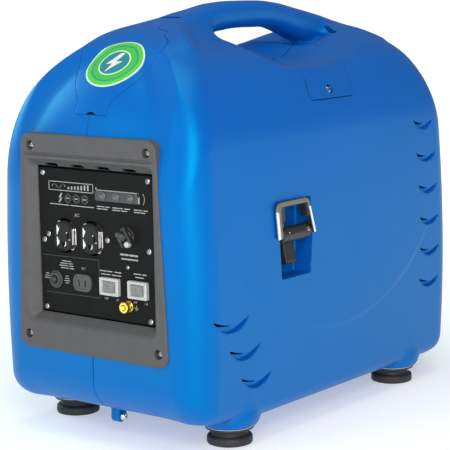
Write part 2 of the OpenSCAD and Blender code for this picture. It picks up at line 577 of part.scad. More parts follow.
// Outer rotor of the alternator, a cup that is also the flywheel
module flywheel_rotor() color([0.5, 0.5, 0.52]) difference() {
    rod_y(-120, -72, 64, 0, crank_z);
    rod_y(-114, -60, 57.5, 0, crank_z);
    rod_y(-130, -60, 10.02, 0, crank_z);
}
module cooling_fan() color([0.15, 0.15, 0.16]) difference() {
    union() {
        rod_y(-140, -120.05, 28, 0, crank_z);
        rod_y(-124, -120.05, 70, 0, crank_z);
        for (i = [0:13]) translate([0, 0, crank_z]) rotate([0, i * 360 / 14, 0]) translate([20, -140, -1]) rotate([0, 12, 0]) cube([49, 19, 2]);
    }
    rod_y(-150, -110, 10.02, 0, crank_z);
}
module stator() color([0.55, 0.35, 0.2]) difference() {
    union() {
        rod_y(-104, -76, 40, 0, crank_z);
        for (i = [0:11]) translate([0, 0, crank_z]) rotate([0, i * 30, 0]) translate([36, -104, -5]) cube([20, 28, 10]);
        rod_y(-104, -68, 30, 0, crank_z);
    }
    rod_y(-120, -60, 24, 0, crank_z);
}
// Ring duct around the fan, on four legs from the crankcase
module fan_shroud() color([0.15, 0.15, 0.16]) {
    difference() {
        rod_y(-150, -112, 79, 0, crank_z);
        rod_y(-147, -115, 76, 0, crank_z);
        rod_y(-160, -140, 48, 0, crank_z);
        rod_y(-120, -100, 66, 0, crank_z);
    }
    for (x = [-1, 1], z = [-1, 1]) rod_y(-112 - eps, -68, 4, x * 50, crank_z + z * 50);
}
module recoil_housing() color([0.15, 0.15, 0.16]) difference() {
    union() {
        difference() { rod_y(-190, -150, 60, 0, crank_z); rod_y(-186, -140, 57, 0, crank_z); }
        rod_y(-187, -160, 6, 0, crank_z);
    }
    for (s = [-1, 1]) translate([s * 50 - 22, -180, crank_z + 33]) cube([44, 14, 14]);
}
module recoil_pulley() color([0.85, 0.85, 0.8]) difference() {
    translate([0, rope_y + 6, crank_z]) rotate([90, 0, 0]) rotate_extrude()
        polygon([[6.05, 0], [44, 0], [44, 2], [37.5, 4], [37.5, 8], [44, 10], [44, 12], [6.05, 12]]);
    for (i = [0:4]) rod_y(-200, -150, 7, 22 * cos(i * 72), crank_z + 22 * sin(i * 72));
}
// T-shaped grip in its pocket, and the run of rope behind it
module starter_grip() color([0.1, 0.1, 0.1]) {
    difference() {
        translate([-144.5, 0, 0]) side_plate(0, 13.5) polygon(rrect(rope_y, crank_z + rope_r, 56, 16, 7));
        for (s = [-1, 1]) rod_x(-134, -120, 6, rope_y + s * 17, crank_z + rope_r);
    }
    rod_x(-131 - eps, -119.2, 5, rope_y, crank_z + rope_r);
}
module starter_rope() color("white") rod_x(-119.2, 120, 2, rope_y, crank_z + rope_r);
module rope_eyelet() color("silver") difference() {
    union() { rod_x(-117.8, -116.02, 8.5, rope_y, crank_z + rope_r); rod_x(-116.1, -108, 5.8, rope_y, crank_z + rope_r); }
    rod_x(-120, -100, 2.6, rope_y, crank_z + rope_r);
}
module choke_knob() color([0.1, 0.1, 0.1]) {
    difference() {
        rod_x(-143.5, -129, 10, -100, 210);
        for (i = [0:9]) rod_x(-150, -120, 1.2, -100 + 10.6 * cos(i * 36), 210 + 10.6 * sin(i * 36));
    }
    rod_x(-129 - eps, -95, 3, -100, 210);
}

module cylinder_barrel() color([0.62, 0.62, 0.64]) difference() {
    union() {
        translate([0, -7, 236.02]) cylinder(h = 80, r = 28);
        for (z = [244:9:308]) translate([0, 0, z]) linear_extrude(3) polygon(rrect(0, -7, 82, 82, 12));
    }
    translate([0, -7, 230]) cylinder(h = 80, r = 20);
}
module cylinder_head() color([0.62, 0.62, 0.64]) {
    translate([0, 0, 316.04]) linear_extrude(36) polygon(rrect(0, -7, 76, 70, 8));
    for (z = [356, 361, 366]) translate([0, 0, z - 4]) linear_extrude(2.5 + (z < 360 ? 4 : 2.5)) polygon(rrect(0, -7, 60 - (z - 356) * 1.2, 54 - (z - 356) * 1.2, 8));
}
module spark_plug() color("white") {
    rod_x(38.05, 46, 8, -7, 338, $fn = 6);
    rod_x(46 - eps, 66, 5, -7, 338);
    rod_x(62, 92, 8, -7, 338);
}
module carburettor() color([0.66, 0.66, 0.68]) {
    box([-66, -24, 322], [-38.05, 10, 350]);
    rod_x(-80, -60, 14, -7, 336);
    translate([-54, -7, 320.5]) cylinder(h = 4, r = 13);
}
module air_filter_box() color([0.12, 0.12, 0.13]) difference() {
    translate([-112, 0, 0]) side_plate(0, 31.9) polygon(rrect(0, 300, 110, 76, 10));
    rod_x(-90, -70, 14.05, -7, 336);
}
// Short petrol hose from the tank to the carburettor
module fuel_hose() color([0.15, 0.15, 0.15]) {
    rod_y(-61.9, -48, 4, -56, 290);
    translate([-56, -48, 290]) sphere(r = 4);
    translate([-56, -48, 290]) cylinder(h = 42, r = 4);
    translate([-56, -48, 332]) sphere(r = 4);
    rod_y(-48, -24.1, 4, -56, 332);
}
// Finned box that turns the alternator's output into mains
module inverter_module() color([0.55, 0.55, 0.57]) {
    box([-86, -222, 48.02], [86, -150, 96]);
    for (i = [0:12]) box([-84 + i * 13.6, -220, 95.9], [-80 + i * 13.6, -152, 104]);
}

// ---------------------------------------------------------------- drawing

right_shell();
left_shell();
service_cover();
service_cover_screw();
panel_bezel();
bezel_screws();
control_plate();
plate_screws();
duplex_receptacle();
receptacle_screws();
dc_outlet();
led_block();
led_lenses();
switch_frames();
idle_rocker();
engine_rocker();
ac_breaker_collar();
ac_breaker_button();
dc_breaker_collar();
dc_breaker_button();
ground_stud();
ground_nut();
fuel_lid();
lid_hinge_pin();
fuel_tank();
filler_boot();
fuel_cap();
latch_base();
latch_pivot_pin();
latch_lever();
latch_bail();
rubber_feet();
foot_bolts();
seam_screw();
exhaust_guard();
guard_screws();
muffler();
base_tray();
frame_posts();
engine_mounts();
crankcase();
main_bearings();
crankshaft();
flywheel_rotor();
cooling_fan();
stator();
fan_shroud();
recoil_housing();
recoil_pulley();
starter_grip();
starter_rope();
rope_eyelet();
choke_knob();
cylinder_barrel();
cylinder_head();
spark_plug();
carburettor();
air_filter_box();
fuel_hose();
inverter_module();
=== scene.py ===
"""Looks of the suitcase-style generator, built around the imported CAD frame.

Every visible moulding is described by a signed distance in millimetres and
meshed by dual contouring, so that shells, lids and small fittings are closed
meshes with true edges, recesses and blends.
"""
import math

import bmesh
import bpy
import numpy as np
from mathutils import Matrix, Vector


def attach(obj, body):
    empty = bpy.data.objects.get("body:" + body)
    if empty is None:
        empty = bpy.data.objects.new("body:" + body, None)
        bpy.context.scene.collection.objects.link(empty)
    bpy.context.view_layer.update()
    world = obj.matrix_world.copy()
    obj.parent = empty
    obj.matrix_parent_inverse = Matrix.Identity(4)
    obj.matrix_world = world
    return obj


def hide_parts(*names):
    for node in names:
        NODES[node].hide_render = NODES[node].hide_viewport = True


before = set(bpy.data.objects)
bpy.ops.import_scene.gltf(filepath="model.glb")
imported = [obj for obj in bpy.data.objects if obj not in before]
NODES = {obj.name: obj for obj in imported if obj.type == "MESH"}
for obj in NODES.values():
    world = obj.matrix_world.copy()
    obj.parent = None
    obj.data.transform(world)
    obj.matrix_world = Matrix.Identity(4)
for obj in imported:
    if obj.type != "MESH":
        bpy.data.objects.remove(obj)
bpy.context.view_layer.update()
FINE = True

# ------------------------------------------------------------------ distances


def sstep(a, b, x):
    t = np.clip((x - a) / (b - a), 0.0, 1.0)
    return t * t * (3.0 - 2.0 * t)


def rmax(a, b, r):
    u = np.maximum(r + a, 0.0)
    v = np.maximum(r + b, 0.0)
    return np.minimum(-r, np.maximum(a, b)) + np.sqrt(u * u + v * v)


def pmax(a, b, r, p=1.913):
    u = np.maximum(r + a, 0.0)
    v = np.maximum(r + b, 0.0)
    return np.minimum(-r, np.maximum(a, b)) + (u ** p + v ** p) ** (1.0 / p)


def rmin(a, b, r):
    return -rmax(-a, -b, r)


def smin(a, b, k):
    h = np.maximum(k - np.abs(a - b), 0.0) / k
    return np.minimum(a, b) - h * h * k * 0.25


def smax(a, b, k):
    return -smin(-a, -b, k)


def union(*d):
    o = d[0]
    for e in d[1:]:
        o = np.minimum(o, e)
    return o


def common(*d):
    o = d[0]
    for e in d[1:]:
        o = np.maximum(o, e)
    return o


def spline(ys, zs):
    """Smooth curve through given points, as a fast lookup."""
    ys = np.array(ys, float)
    zs = np.array(zs, float)
    d = np.diff(zs) / np.diff(ys)
    m = np.empty_like(zs)
    m[1:-1] = np.where(d[:-1] * d[1:] > 0, 2 * d[:-1] * d[1:] / (d[:-1] + d[1:] + 1e-12), 0.0)
    m[0], m[-1] = d[0], d[-1]
    q = np.linspace(ys[0], ys[-1], 1500)
    k = np.clip(np.searchsorted(ys, q) - 1, 0, len(ys) - 2)
    h = ys[k + 1] - ys[k]
    t = (q - ys[k]) / h
    v = ((2 * t**3 - 3 * t**2 + 1) * zs[k] + (t**3 - 2 * t**2 + t) * h * m[k]
         + (-2 * t**3 + 3 * t**2) * zs[k + 1] + (t**3 - t**2) * h * m[k + 1])
    return lambda y: np.interp(y, q, v)


def d_box(x, y, z, lo, hi, r=0.0):
    q = [np.abs(p - (a + b) / 2.0) - ((b - a) / 2.0 - r) for p, a, b in zip((x, y, z), lo, hi)]
    o = np.sqrt(sum(np.maximum(e, 0.0) ** 2 for e in q))
    return o + np.minimum(np.maximum(np.maximum(q[0], q[1]), q[2]), 0.0) - r


def d_rect(a, b, ca, cb, w, h, r):
    qa = np.abs(a - ca) - (w / 2.0 - r)
    qb = np.abs(b - cb) - (h / 2.0 - r)
    return np.hypot(np.maximum(qa, 0), np.maximum(qb, 0)) + np.minimum(np.maximum(qa, qb), 0) - r


def d_disc(a, b, ca, cb, r):
    return np.hypot(a - ca, b - cb) - r


def d_poly(a, b, pts):
    """Signed distance to a closed outline of straight edges."""
    pts = np.array(pts, float)
    d = np.full(a.shape, 1e18)
    s = np.ones(a.shape)
    n = len(pts)
    for i in range(n):
        p, q = pts[i], pts[i - 1]
        e = q - p
        wa, wb = a - p[0], b - p[1]
        t = np.clip((wa * e[0] + wb * e[1]) / (e @ e + 1e-12), 0, 1)
        d = np.minimum(d, (wa - e[0] * t) ** 2 + (wb - e[1] * t) ** 2)
        c1, c2, c3 = b >= p[1], b < q[1], e[0] * wb > e[1] * wa
        s = np.where((c1 & c2 & c3) | (~c1 & ~c2 & ~c3), -s, s)
    return s * np.sqrt(d)


def slab(d2, t, t0, t1, r=0.0):
    """Outline d2 extruded from t0 to t1, with rounded rims."""
    e = np.abs(t - (t0 + t1) / 2.0) - (t1 - t0) / 2.0
    return rmax(d2, e, r) if r > 0 else np.maximum(d2, e)


def near(lo, hi, fn, pad=5.0):
    """Evaluates fn only close to its own box."""
    lo = np.array(lo, float)
    hi = np.array(hi, float)

    def g(x, y, z):
        out = np.maximum(np.maximum(np.maximum(lo[0] - x, x - hi[0]), np.maximum(lo[1] - y, y - hi[1])),
                         np.maximum(lo[2] - z, z - hi[2]))
        m = out < pad
        out = np.maximum(out, pad * 0.5)
        if m.any():
            out[m] = fn(x[m], y[m], z[m])
        return out
    return g


# ------------------------------------------------------------------ meshing


def contour(f, lo, hi, h, B=8):
    """Dual contouring of f = 0 on a sparse grid of pitch h: vertices, quads and normals."""
    lo = np.array(lo, float) - 1.37 * h
    n = np.ceil((np.array(hi, float) + 1.5 * h - lo) / h).astype(int)
    nb = (n + B - 1) // B
    bi = np.stack(np.meshgrid(*[np.arange(k) for k in nb], indexing="ij"), -1).reshape(-1, 3)
    c = lo + (bi * B + B / 2.0) * h
    bi = bi[np.abs(f(c[:, 0], c[:, 1], c[:, 2])) < B * h * 0.866 * 1.35 + h]
    g = np.arange(B + 1)
    L = np.stack(np.meshgrid(g, g, g, indexing="ij"), -1).reshape(-1, 3)
    val = np.empty((len(bi), (B + 1) ** 3))
    step = 1500
    for s in range(0, len(bi), step):
        X = lo + (bi[s:s + step, None, :] * B + L[None]).reshape(-1, 3) * h
        val[s:s + step] = f(X[:, 0], X[:, 1], X[:, 2]).reshape(-1, (B + 1) ** 3)
    val = val.reshape(-1, B + 1, B + 1, B + 1)
    stride = np.array([(n[1] + 3) * (n[2] + 3), n[2] + 3, 1], np.int64)
    pts, cells, flips = [], [], []
    for a in range(3):
        s0 = val[:, :B, :B, :B]
        s1 = val[:, 1:, :B, :B] if a == 0 else val[:, :B, 1:, :B] if a == 1 else val[:, :B, :B, 1:]
        w = np.argwhere((s0 < 0) != (s1 < 0))
        f0 = s0[tuple(w.T)]
        f1 = s1[tuple(w.T)]
        idx = bi[w[:, 0]] * B + w[:, 1:]
        p0 = lo + idx * h
        ta, tb = np.zeros(len(w)), np.ones(len(w))
        fa, fb = f0.copy(), f1.copy()
        ax = np.eye(3)[a]
        for _ in range(4):
            t = np.clip(ta + (tb - ta) * fa / (fa - fb), ta + 0.02 * (tb - ta), tb - 0.02 * (tb - ta))
            q = p0 + ax * (t * h)[:, None]
            ft = f(q[:, 0], q[:, 1], q[:, 2])
            m = (ft < 0) == (fa < 0)
            ta, fa = np.where(m, t, ta), np.where(m, ft, fa)
            tb, fb = np.where(m, tb, t), np.where(m, fb, ft)
        t = ta + (tb - ta) * fa / (fa - fb)
        pts.append(p0 + ax * (t * h)[:, None])
        eb, ec = np.eye(3, dtype=np.int64)[(a + 1) % 3], np.eye(3, dtype=np.int64)[(a + 2) % 3]
        k = idx + 1
        cells.append(np.stack([(k - eb - ec) @ stride, (k - ec) @ stride, k @ stride, (k - eb) @ stride], 1))
        flips.append(f0 >= 0)
    P = np.concatenate(pts)
    C = np.concatenate(cells)
    F = np.concatenate(flips)
    N = gradient(f, P, 0.04 * h)
    ids, inv = np.unique(C.ravel(), return_inverse=True)
    inv = inv.reshape(-1)
    m = len(ids)
    Pr = np.repeat(P, 4, axis=0)
    Nr = np.repeat(N, 4, axis=0)
    acc = lambda wgt: np.bincount(inv, weights=wgt, minlength=m)
    cnt = acc(np.ones(len(inv)))
    mass = np.stack([acc(Pr[:, i]) for i in range(3)], 1) / cnt[:, None]
    A = np.empty((m, 3, 3))
    for i in range(3):
        for j in range(i, 3):
            A[:, i, j] = A[:, j, i] = acc(Nr[:, i] * Nr[:, j])
    nd = np.einsum("ij,ij->i", Nr, Pr - mass[inv])
    b = np.stack([acc(Nr[:, i] * nd) for i in range(3)], 1)
    A += np.eye(3) * 0.06
    V = mass + np.linalg.solve(A, b[:, :, None])[:, :, 0]
    cell = np.stack([ids // stride[0], (ids // stride[1]) % (n[1] + 3), ids % (n[2] + 3)], 1) - 1
    cl = lo + cell * h
    V = np.clip(V, cl - 0.05 * h, cl + 1.05 * h)
    Q = inv.reshape(-1, 4)
    Q = np.where(F[:, None], Q[:, ::-1], Q)
    return V, Q, gradient(f, V, 0.04 * h)


def gradient(f, P, e):
    G = np.empty_like(P)
    for i in range(3):
        d = np.zeros(3)
        d[i] = e
        a, b = P + d, P - d
        G[:, i] = f(a[:, 0], a[:, 1], a[:, 2]) - f(b[:, 0], b[:, 1], b[:, 2])
    return G / (np.linalg.norm(G, axis=1)[:, None] + 1e-12)


SCENE = bpy.context.scene
PIECES = {}


def add_mesh(name, V, F, mat, body="housing", replaces=(), normals=None, crease=0.82, smooth=True):
    """A piece from vertices in millimetres and faces of equal or mixed size."""
    me = bpy.data.meshes.new(name)
    V = np.asarray(V, float) * 0.001
    if isinstance(F, np.ndarray) and F.ndim == 2:
        k = F.shape[1]
        me.vertices.add(len(V))
        me.vertices.foreach_set("co", V.astype(np.float32).ravel())
        me.loops.add(F.size)
        me.loops.foreach_set("vertex_index", F.astype(np.int32).ravel())
        me.polygons.add(len(F))
        me.polygons.foreach_set("loop_start", np.arange(0, F.size, k, dtype=np.int32))
        me.update(calc_edges=True)
    else:
        me.from_pydata([tuple(v) for v in V], [], [tuple(int(i) for i in f) for f in F])
        me.update(calc_edges=True)
    me.polygons.foreach_set("use_smooth", np.full(len(me.polygons), smooth, bool))
    if normals is not None:
        fn = np.empty(len(me.polygons) * 3, np.float32)
        me.polygons.foreach_get("normal", fn)
        fn = np.repeat(fn.reshape(-1, 3), F.shape[1], axis=0)
        vn = np.asarray(normals, np.float32)[F.ravel()]
        ok = np.einsum("ij,ij->i", fn, vn) > crease
        me.normals_split_custom_set(np.where(ok[:, None], vn, fn).tolist())
    o = bpy.data.objects.new(name, me)
    SCENE.collection.objects.link(o)
    if mat is not None:
        me.materials.append(mat)
    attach(o, body)
    if replaces:
        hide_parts(*([replaces] if isinstance(replaces, str) else replaces))
    PIECES[name] = o
    return o


def sculpt(name, f, lo, hi, h, mat, body="housing", replaces=(), crease=0.82):
    """A piece from its signed distance."""
    V, Q, N = contour(f, lo, hi, h if FINE else h * 1.5)
    return add_mesh(name, V, Q, mat, body, replaces, N, crease)


# ------------------------------------------------------------------ materials


def material(name, color, rough=0.4, metal=0.0, var=0.06, scale=40.0, bump=0.0, bscale=600.0, rvar=0.08,
             coat=0.0, spec=0.5, dark=None, bdist=0.0002, sheen=0.0, emis=None, coat_rough=0.1, tint=None):
    """Moulded or plated finish: mottled colour, uneven gloss and a fine grain."""
    m = bpy.data.materials.new(name)
    m.use_nodes = True
    nt = m.node_tree
    bs = nt.nodes["Principled BSDF"]
    tc = nt.nodes.new("ShaderNodeTexCoord")
    nz = nt.nodes.new("ShaderNodeTexNoise")
    nz.inputs["Scale"].default_value = scale
    nz.inputs["Detail"].default_value = 6.0
    nz.inputs["Roughness"].default_value = 0.6
    nt.links.new(tc.outputs["Object"], nz.inputs["Vector"])
    cr = nt.nodes.new("ShaderNodeValToRGB")
    cr.color_ramp.elements[0].position = 0.3
    cr.color_ramp.elements[1].position = 0.7
    lo = [max(0.0, c * (1 - var)) for c in color]
    hi = [min(1.0, c * (1 + var)) for c in color]
    if dark is not None:
        lo = dark
    cr.color_ramp.elements[0].color = (*lo, 1)
    cr.color_ramp.elements[1].color = (*hi, 1)
    nt.links.new(nz.outputs["Fac"], cr.inputs["Fac"])
    nt.links.new(cr.outputs["Color"], bs.inputs["Base Color"])
    mr = nt.nodes.new("ShaderNodeMapRange")
    mr.inputs["To Min"].default_value = max(0.02, rough - rvar)
    mr.inputs["To Max"].default_value = min(1.0, rough + rvar)
    n2 = nt.nodes.new("ShaderNodeTexNoise")
    n2.inputs["Scale"].default_value = scale * 2.7
    n2.inputs["Detail"].default_value = 4.0
    nt.links.new(tc.outputs["Object"], n2.inputs["Vector"])
    nt.links.new(n2.outputs["Fac"], mr.inputs["Value"])
    nt.links.new(mr.outputs["Result"], bs.inputs["Roughness"])
    bs.inputs["Metallic"].default_value = metal
    bs.inputs["Specular IOR Level"].default_value = spec
    if tint:
        bs.inputs["Specular Tint"].default_value = (*tint, 1)
    if coat:
        bs.inputs["Coat Weight"].default_value = coat
        bs.inputs["Coat Roughness"].default_value = coat_rough
    if sheen:
        bs.inputs["Sheen Weight"].default_value = sheen
    if emis:
        bs.inputs["Emission Color"].default_value = (*emis[:3], 1)
        bs.inputs["Emission Strength"].default_value = emis[3]
    if bump:
        n3 = nt.nodes.new("ShaderNodeTexNoise")
        n3.inputs["Scale"].default_value = bscale
        n3.inputs["Detail"].default_value = 3.0
        nt.links.new(tc.outputs["Object"], n3.inputs["Vector"])
        bp = nt.nodes.new("ShaderNodeBump")
        bp.inputs["Strength"].default_value = bump
        bp.inputs["Distance"].default_value = bdist
        nt.links.new(n3.outputs["Fac"], bp.inputs["Height"])
        nt.links.new(bp.outputs["Normal"], bs.inputs["Normal"])
    return m


M = {
    "blue": material("blue_moulding", (0.002, 0.085, 0.42), 0.44, var=0.04, scale=9, bump=0.06, bscale=420, rvar=0.04, spec=1.0, tint=(0.0, 1.0, 1.0)),
    "grey": material("grey_bezel", (0.074, 0.074, 0.076), 0.54, var=0.10, scale=60, bump=0.35, bscale=900, rvar=0.07),
    "plate": material("black_plate", (0.007, 0.007, 0.0073), 0.6, var=0.15, scale=45, bump=0.12, bscale=1200, spec=0.13),
    "black": material("black_plastic", (0.02, 0.02, 0.021), 0.38, var=0.18, scale=70, bump=0.2, bscale=900),
    "collar": material("dark_collar", (0.05, 0.05, 0.052), 0.40, var=0.14, scale=80, bump=0.15, bscale=900),
    "rubber": material("rubber", (0.026, 0.026, 0.026), 0.62, var=0.25, scale=50, bump=0.4, bscale=700, rvar=0.12),
    "steel": material("bright_steel", (0.66, 0.66, 0.67), 0.26, 1.0, var=0.06, scale=90, bump=0.06, bscale=1500),
    "chrome": material("chrome", (0.70, 0.69, 0.67), 0.16, 1.0, var=0.04, scale=60, bump=0.04, bscale=900, rvar=0.06),
    "satin": material("satin_strip", (0.24, 0.225, 0.205), 0.36, 1.0, var=0.08, scale=70, bump=0.08, bscale=900, rvar=0.08),
    "dsteel": material("dark_steel", (0.16, 0.16, 0.165), 0.45, 1.0, var=0.2, scale=30, bump=0.25, bscale=500, rvar=0.12),
    "brass": material("brass", (0.88, 0.72, 0.14), 0.28, 1.0, var=0.08, scale=80, bump=0.06, bscale=900),
    "silver": material("silver_paint", (0.50, 0.50, 0.49), 0.38, 0.15, var=0.08, scale=80, bump=0.08, bscale=900),
    "alu": material("cast_aluminium", (0.5, 0.5, 0.51), 0.5, 0.85, var=0.15, scale=40, bump=0.5, bscale=350, rvar=0.1),
    "copper": material("copper_winding", (0.55, 0.24, 0.09), 0.4, 0.8, var=0.25, scale=120, bump=0.5, bscale=900),
    "nylon": material("pale_nylon", (0.62, 0.60, 0.54), 0.5, var=0.08, scale=30, bump=0.2),
    "ceramic": material("white_ceramic", (0.75, 0.74, 0.72), 0.25, var=0.05, scale=30, bump=0.05),
    "rope": material("white_rope", (0.66, 0.64, 0.58), 0.8, var=0.15, scale=300, bump=0.6, bscale=1500, sheen=0.2),
    "washer": material("pale_washer", (0.66, 0.66, 0.62), 0.45, var=0.1, scale=60, bump=0.1),
    "ink": material("grey_ink", (0.34, 0.34, 0.34), 0.55, var=0.1, scale=200, bump=0.05),
    "rocker": material("rocker_grey", (0.19, 0.19, 0.19), 0.42, var=0.12, scale=80, bump=0.12, bscale=900),
    "midgrey": material("mid_grey_plastic", (0.20, 0.20, 0.205), 0.45, var=0.1, scale=80, bump=0.12, bscale=900),
    "dcgrey": material("socket_grey", (0.065, 0.065, 0.067), 0.45, var=0.12, scale=80, bump=0.12, bscale=900),
    "dimink": material("dim_grey_ink", (0.05, 0.05, 0.051), 0.55, var=0.1, scale=200, bump=0.05),
    "ring": material("lamp_ring", (0.13, 0.13, 0.13), 0.35, 0.3, var=0.1, scale=80, bump=0.05),
    "faceblack": material("outlet_face", (0.011, 0.011, 0.0115), 0.5, var=0.15, scale=70, bump=0.15, bscale=900, spec=0.3),
    "screw": material("plated_screw", (0.42, 0.42, 0.42), 0.22, 1.0, var=0.08, scale=120, bump=0.06, bscale=900),
    # pale half-metal finish for the bail's leg beads: a painted highlight
    "edge": material("painted_highlight_bead", (0.80, 0.80, 0.79), 0.28, 0.25, var=0.05, scale=90, bump=0.05),
    "lens": material("lamp_lens", (0.10, 0.10, 0.11), 0.12, var=0.15, scale=90, coat=0.6),
    "leaf": material("label_green", (0.06, 0.52, 0.045), 0.3, var=0.08, scale=70, coat=0.4, bump=0.03),
    "teal": material("label_teal", (0.012, 0.20, 0.27), 0.3, var=0.1, scale=70, coat=0.4, bump=0.03),
    "paper": material("label_white", (0.72, 0.80, 0.72), 0.35, var=0.05, scale=70, coat=0.3, bump=0.03),
    "tank": material("tank_black", (0.035, 0.035, 0.037), 0.45, var=0.15, scale=25, bump=0.35, bscale=500),
}

# carried-over CAD nodes: finish by node name
CAD_FINISH = {
    "fuel_tank": "tank", "filler_boot": "rubber", "lid_hinge_pin": "steel", "latch_base": "black", "latch_pivot_pin": "steel",
    "foot_bolts": "steel", "guard_screws": "steel", "muffler": "dsteel", "base_tray": "dsteel", "frame_posts": "dsteel",
    "engine_mounts": "rubber", "crankcase": "alu", "main_bearings": "steel", "crankshaft": "steel", "flywheel_rotor": "dsteel",
    "cooling_fan": "black", "stator": "copper", "fan_shroud": "black", "recoil_housing": "black", "recoil_pulley": "nylon",
    "rope_eyelet": "steel", "cylinder_barrel": "alu", "cylinder_head": "alu", "spark_plug": "ceramic", "carburettor": "alu",
    "air_filter_box": "black", "fuel_hose": "rubber", "inverter_module": "alu",
}
for n, o in NODES.items():
    o.data.materials.clear()
    o.data.materials.append(M[CAD_FINISH.get(n, "black")])

# ------------------------------------------------------------------ body form

HW, RS, ZS, YF, YR = 142.6, 1700.0, 150.0, 249.3, 248.3
ROOF_R, ROOF_Z = 174.7, 422.5
crest = spline([-200, -170, -155, -140, -125, -111, -95, -77, -42, -6, 32, 70, 109, 150, 170, 192, 215, 250],
               [389, 411, 422.3, 429.8, 435.6, 440.1, 445, 448.5, 454.2, 456, 455.6, 452, 445, 435.8, 430, 424.2, 417.9, 400.9])
bar_w = spline([-185, -165, -150, -130, -111, -95, -77, 100, 130, 160, 200, 240],
               [55.1, 63.1, 54.6, 35.3, 24.7, 21, 18.5, 18.5, 20.5, 25, 31, 54.9])
bar_h = spline([-200, -60, -30, 30, 60, 75, 92, 110, 130, 160, 240],
               [14, 14.3, 14.9, 14.4, 14.5, 15.4, 17, 18.6, 19.4, 20, 20])
# floor of the hand hollow with its slope: along the centre line, and further out
IN_Y = np.linspace(-77.0, 178.0, 1500)
IN_Z = spline([-77, -73, -68, -58, -49, -40, -20, 0, 20, 40, 57, 75, 92, 110, 122, 136, 150, 164, 178],
              [436.2, 423.9, 417.9, 410.9, 406.8, 404.4, 403.2, 404, 405.8, 408.2, 408.8, 407.2, 404.8, 403, 403.4, 406.9, 412.4, 419.4, 427.4])(IN_Y)
IN_S = np.gradient(IN_Z, IN_Y)
OUT_Y = np.linspace(-77.0, 155.0, 1500)
OUT_Z = spline([-77, -60, -40, -20, 0, 20, 45, 70, 90, 100, 112, 126, 140, 155],
               [439.5, 421, 411.5, 406.2, 403.4, 402.5, 403.5, 406.5, 411.5, 414.8, 419.8, 426.8, 435, 444.5])(OUT_Y)
OUT_S = np.gradient(OUT_Z, OUT_Y)
FEET = [(sx * 108.7, sy * 158.6) for sx in (-1, 1) for sy in (-1, 1)]


def body(x, y, z):
    ax = np.abs(x)
    side = np.hypot(ax - (HW - RS), z - ZS) - RS
    # shallow raised disc on each side
    side = side - 1.2 * sstep(215.0, 135.0, z) * (1.0 - sstep(231.0, 238.0, np.hypot(y - 4.0, z - 336.0)))
    ends = np.where(y < 0, -y - YF, y - YR) + x * x / 12000.0
    zr = ROOF_Z - x * x / (2 * ROOF_R)
    roof = (z - zr) / np.sqrt(1 + (x / ROOF_R) ** 2)
    w = rmax(side, ends, np.where(y < 0, 34.9, 35.3) - 2.0 * sstep(230.0, 400.0, z))
    t = sstep(-45.0, 45.0, ends - side)
    r = 43.2 * (1 - t) + np.where(y < 0, 111.7, 88.4) * t
    q = pmax(w, roof, r)
    return rmax(q, 25.6 + 8.0 * sstep(120.0, 245.0, -y) - z, 15.7 * (1 - t) + 37.8 * t)


def handle(x, y, z):
    zc = crest(np.clip(y, -200, 250))
    w = bar_w(np.clip(y, -185, 240))
    h = bar_h(np.clip(y, -200, 240))
    r = 12.0 + (h - 14.0) * 0.8
    qx = np.abs(x) - (w - r)
    qz = np.abs(z - (zc - h)) - (h - r)
    d = np.hypot(np.maximum(qx, 0), np.maximum(qz, 0)) + np.minimum(np.maximum(qx, qz), 0) - r
    return np.maximum(d * 0.93, np.maximum(-y - 175, y - 245))


def scoop(x, y, z):
    """Hand hollow under the bar: a little longer close to the bar than further out."""
    ax = np.sqrt(x * x + 6.0) - 2.0
    yc = np.clip(y, IN_Y[0], IN_Y[-1])
    s = np.interp(yc, IN_Y, IN_S)
    f = np.interp(yc, IN_Y, IN_Z) + s * (y - yc)
    yc = np.clip(y, OUT_Y[0], OUT_Y[-1])
    so = np.interp(yc, OUT_Y, OUT_S)
    fo = np.interp(yc, OUT_Y, OUT_Z) + so * (y - yc)
    w = sstep(12.0, 48.0, ax) * sstep(-20.0, 20.0, y)
    f, s = f * (1 - w) + fo * w, s * (1 - w) + so * w
    t = 0.173
    return (f - t * ax - z) / np.sqrt(1.0 + s * s + t * t)


def boss(x, y, z):
    r = np.hypot(np.abs(x) - 108.7, np.abs(y) - 158.6)
    R = np.interp(z, [19.5, 21.5, 25, 30, 36, 46], [27.4, 29.4, 31.6, 33.0, 32.4, 28.0])
    return rmax((r - R) * 0.92, 19.5 - z, 1.2)


def lug(x, y, z):
    t = np.clip((z - 23.6) / 18.0, 0, 1)
    return rmax(np.hypot(y + 212 - 3 * t, z - 23.6 - 18.0 * t) - 6.4 - 2.0 * t, np.abs(x - 0.5) - 5.4, 1.4)


near_lug = near((-9, -222, 15), (9, -195, 50), lug, 8)


def form(x, y, z):
    """Outer surface of the whole moulded body."""
    b = body(x, y, z)
    m = z > 330
    if m.any():
        xm, ym, zm = x[m], y[m], z[m]
        c = smax(b[m], -scoop(xm, ym, zm), 4.6 + 15.4 * sstep(60.0, 130.0, ym))
        drop = crest(np.clip(ym, -200, 250)) - zm
        k = 30.5 - 20.5 * sstep(20.0, 90.0, ym) + 14.0 * sstep(100.0, 150.0, ym) * sstep(3.0, 14.0, drop)
        k = k * (1.0 - 0.6 * sstep(22.0, 30.0, drop) * sstep(60.0, 90.0, ym))
        b[m] = smin(c, handle(xm, ym, zm), k)
    m = z < 66
    if m.any():
        b[m] = smin(b[m], boss(x[m], y[m], z[m]), 5.0)
        b[m] = smin(b[m], near_lug(x[m], y[m], z[m]), 3.0)
    return b


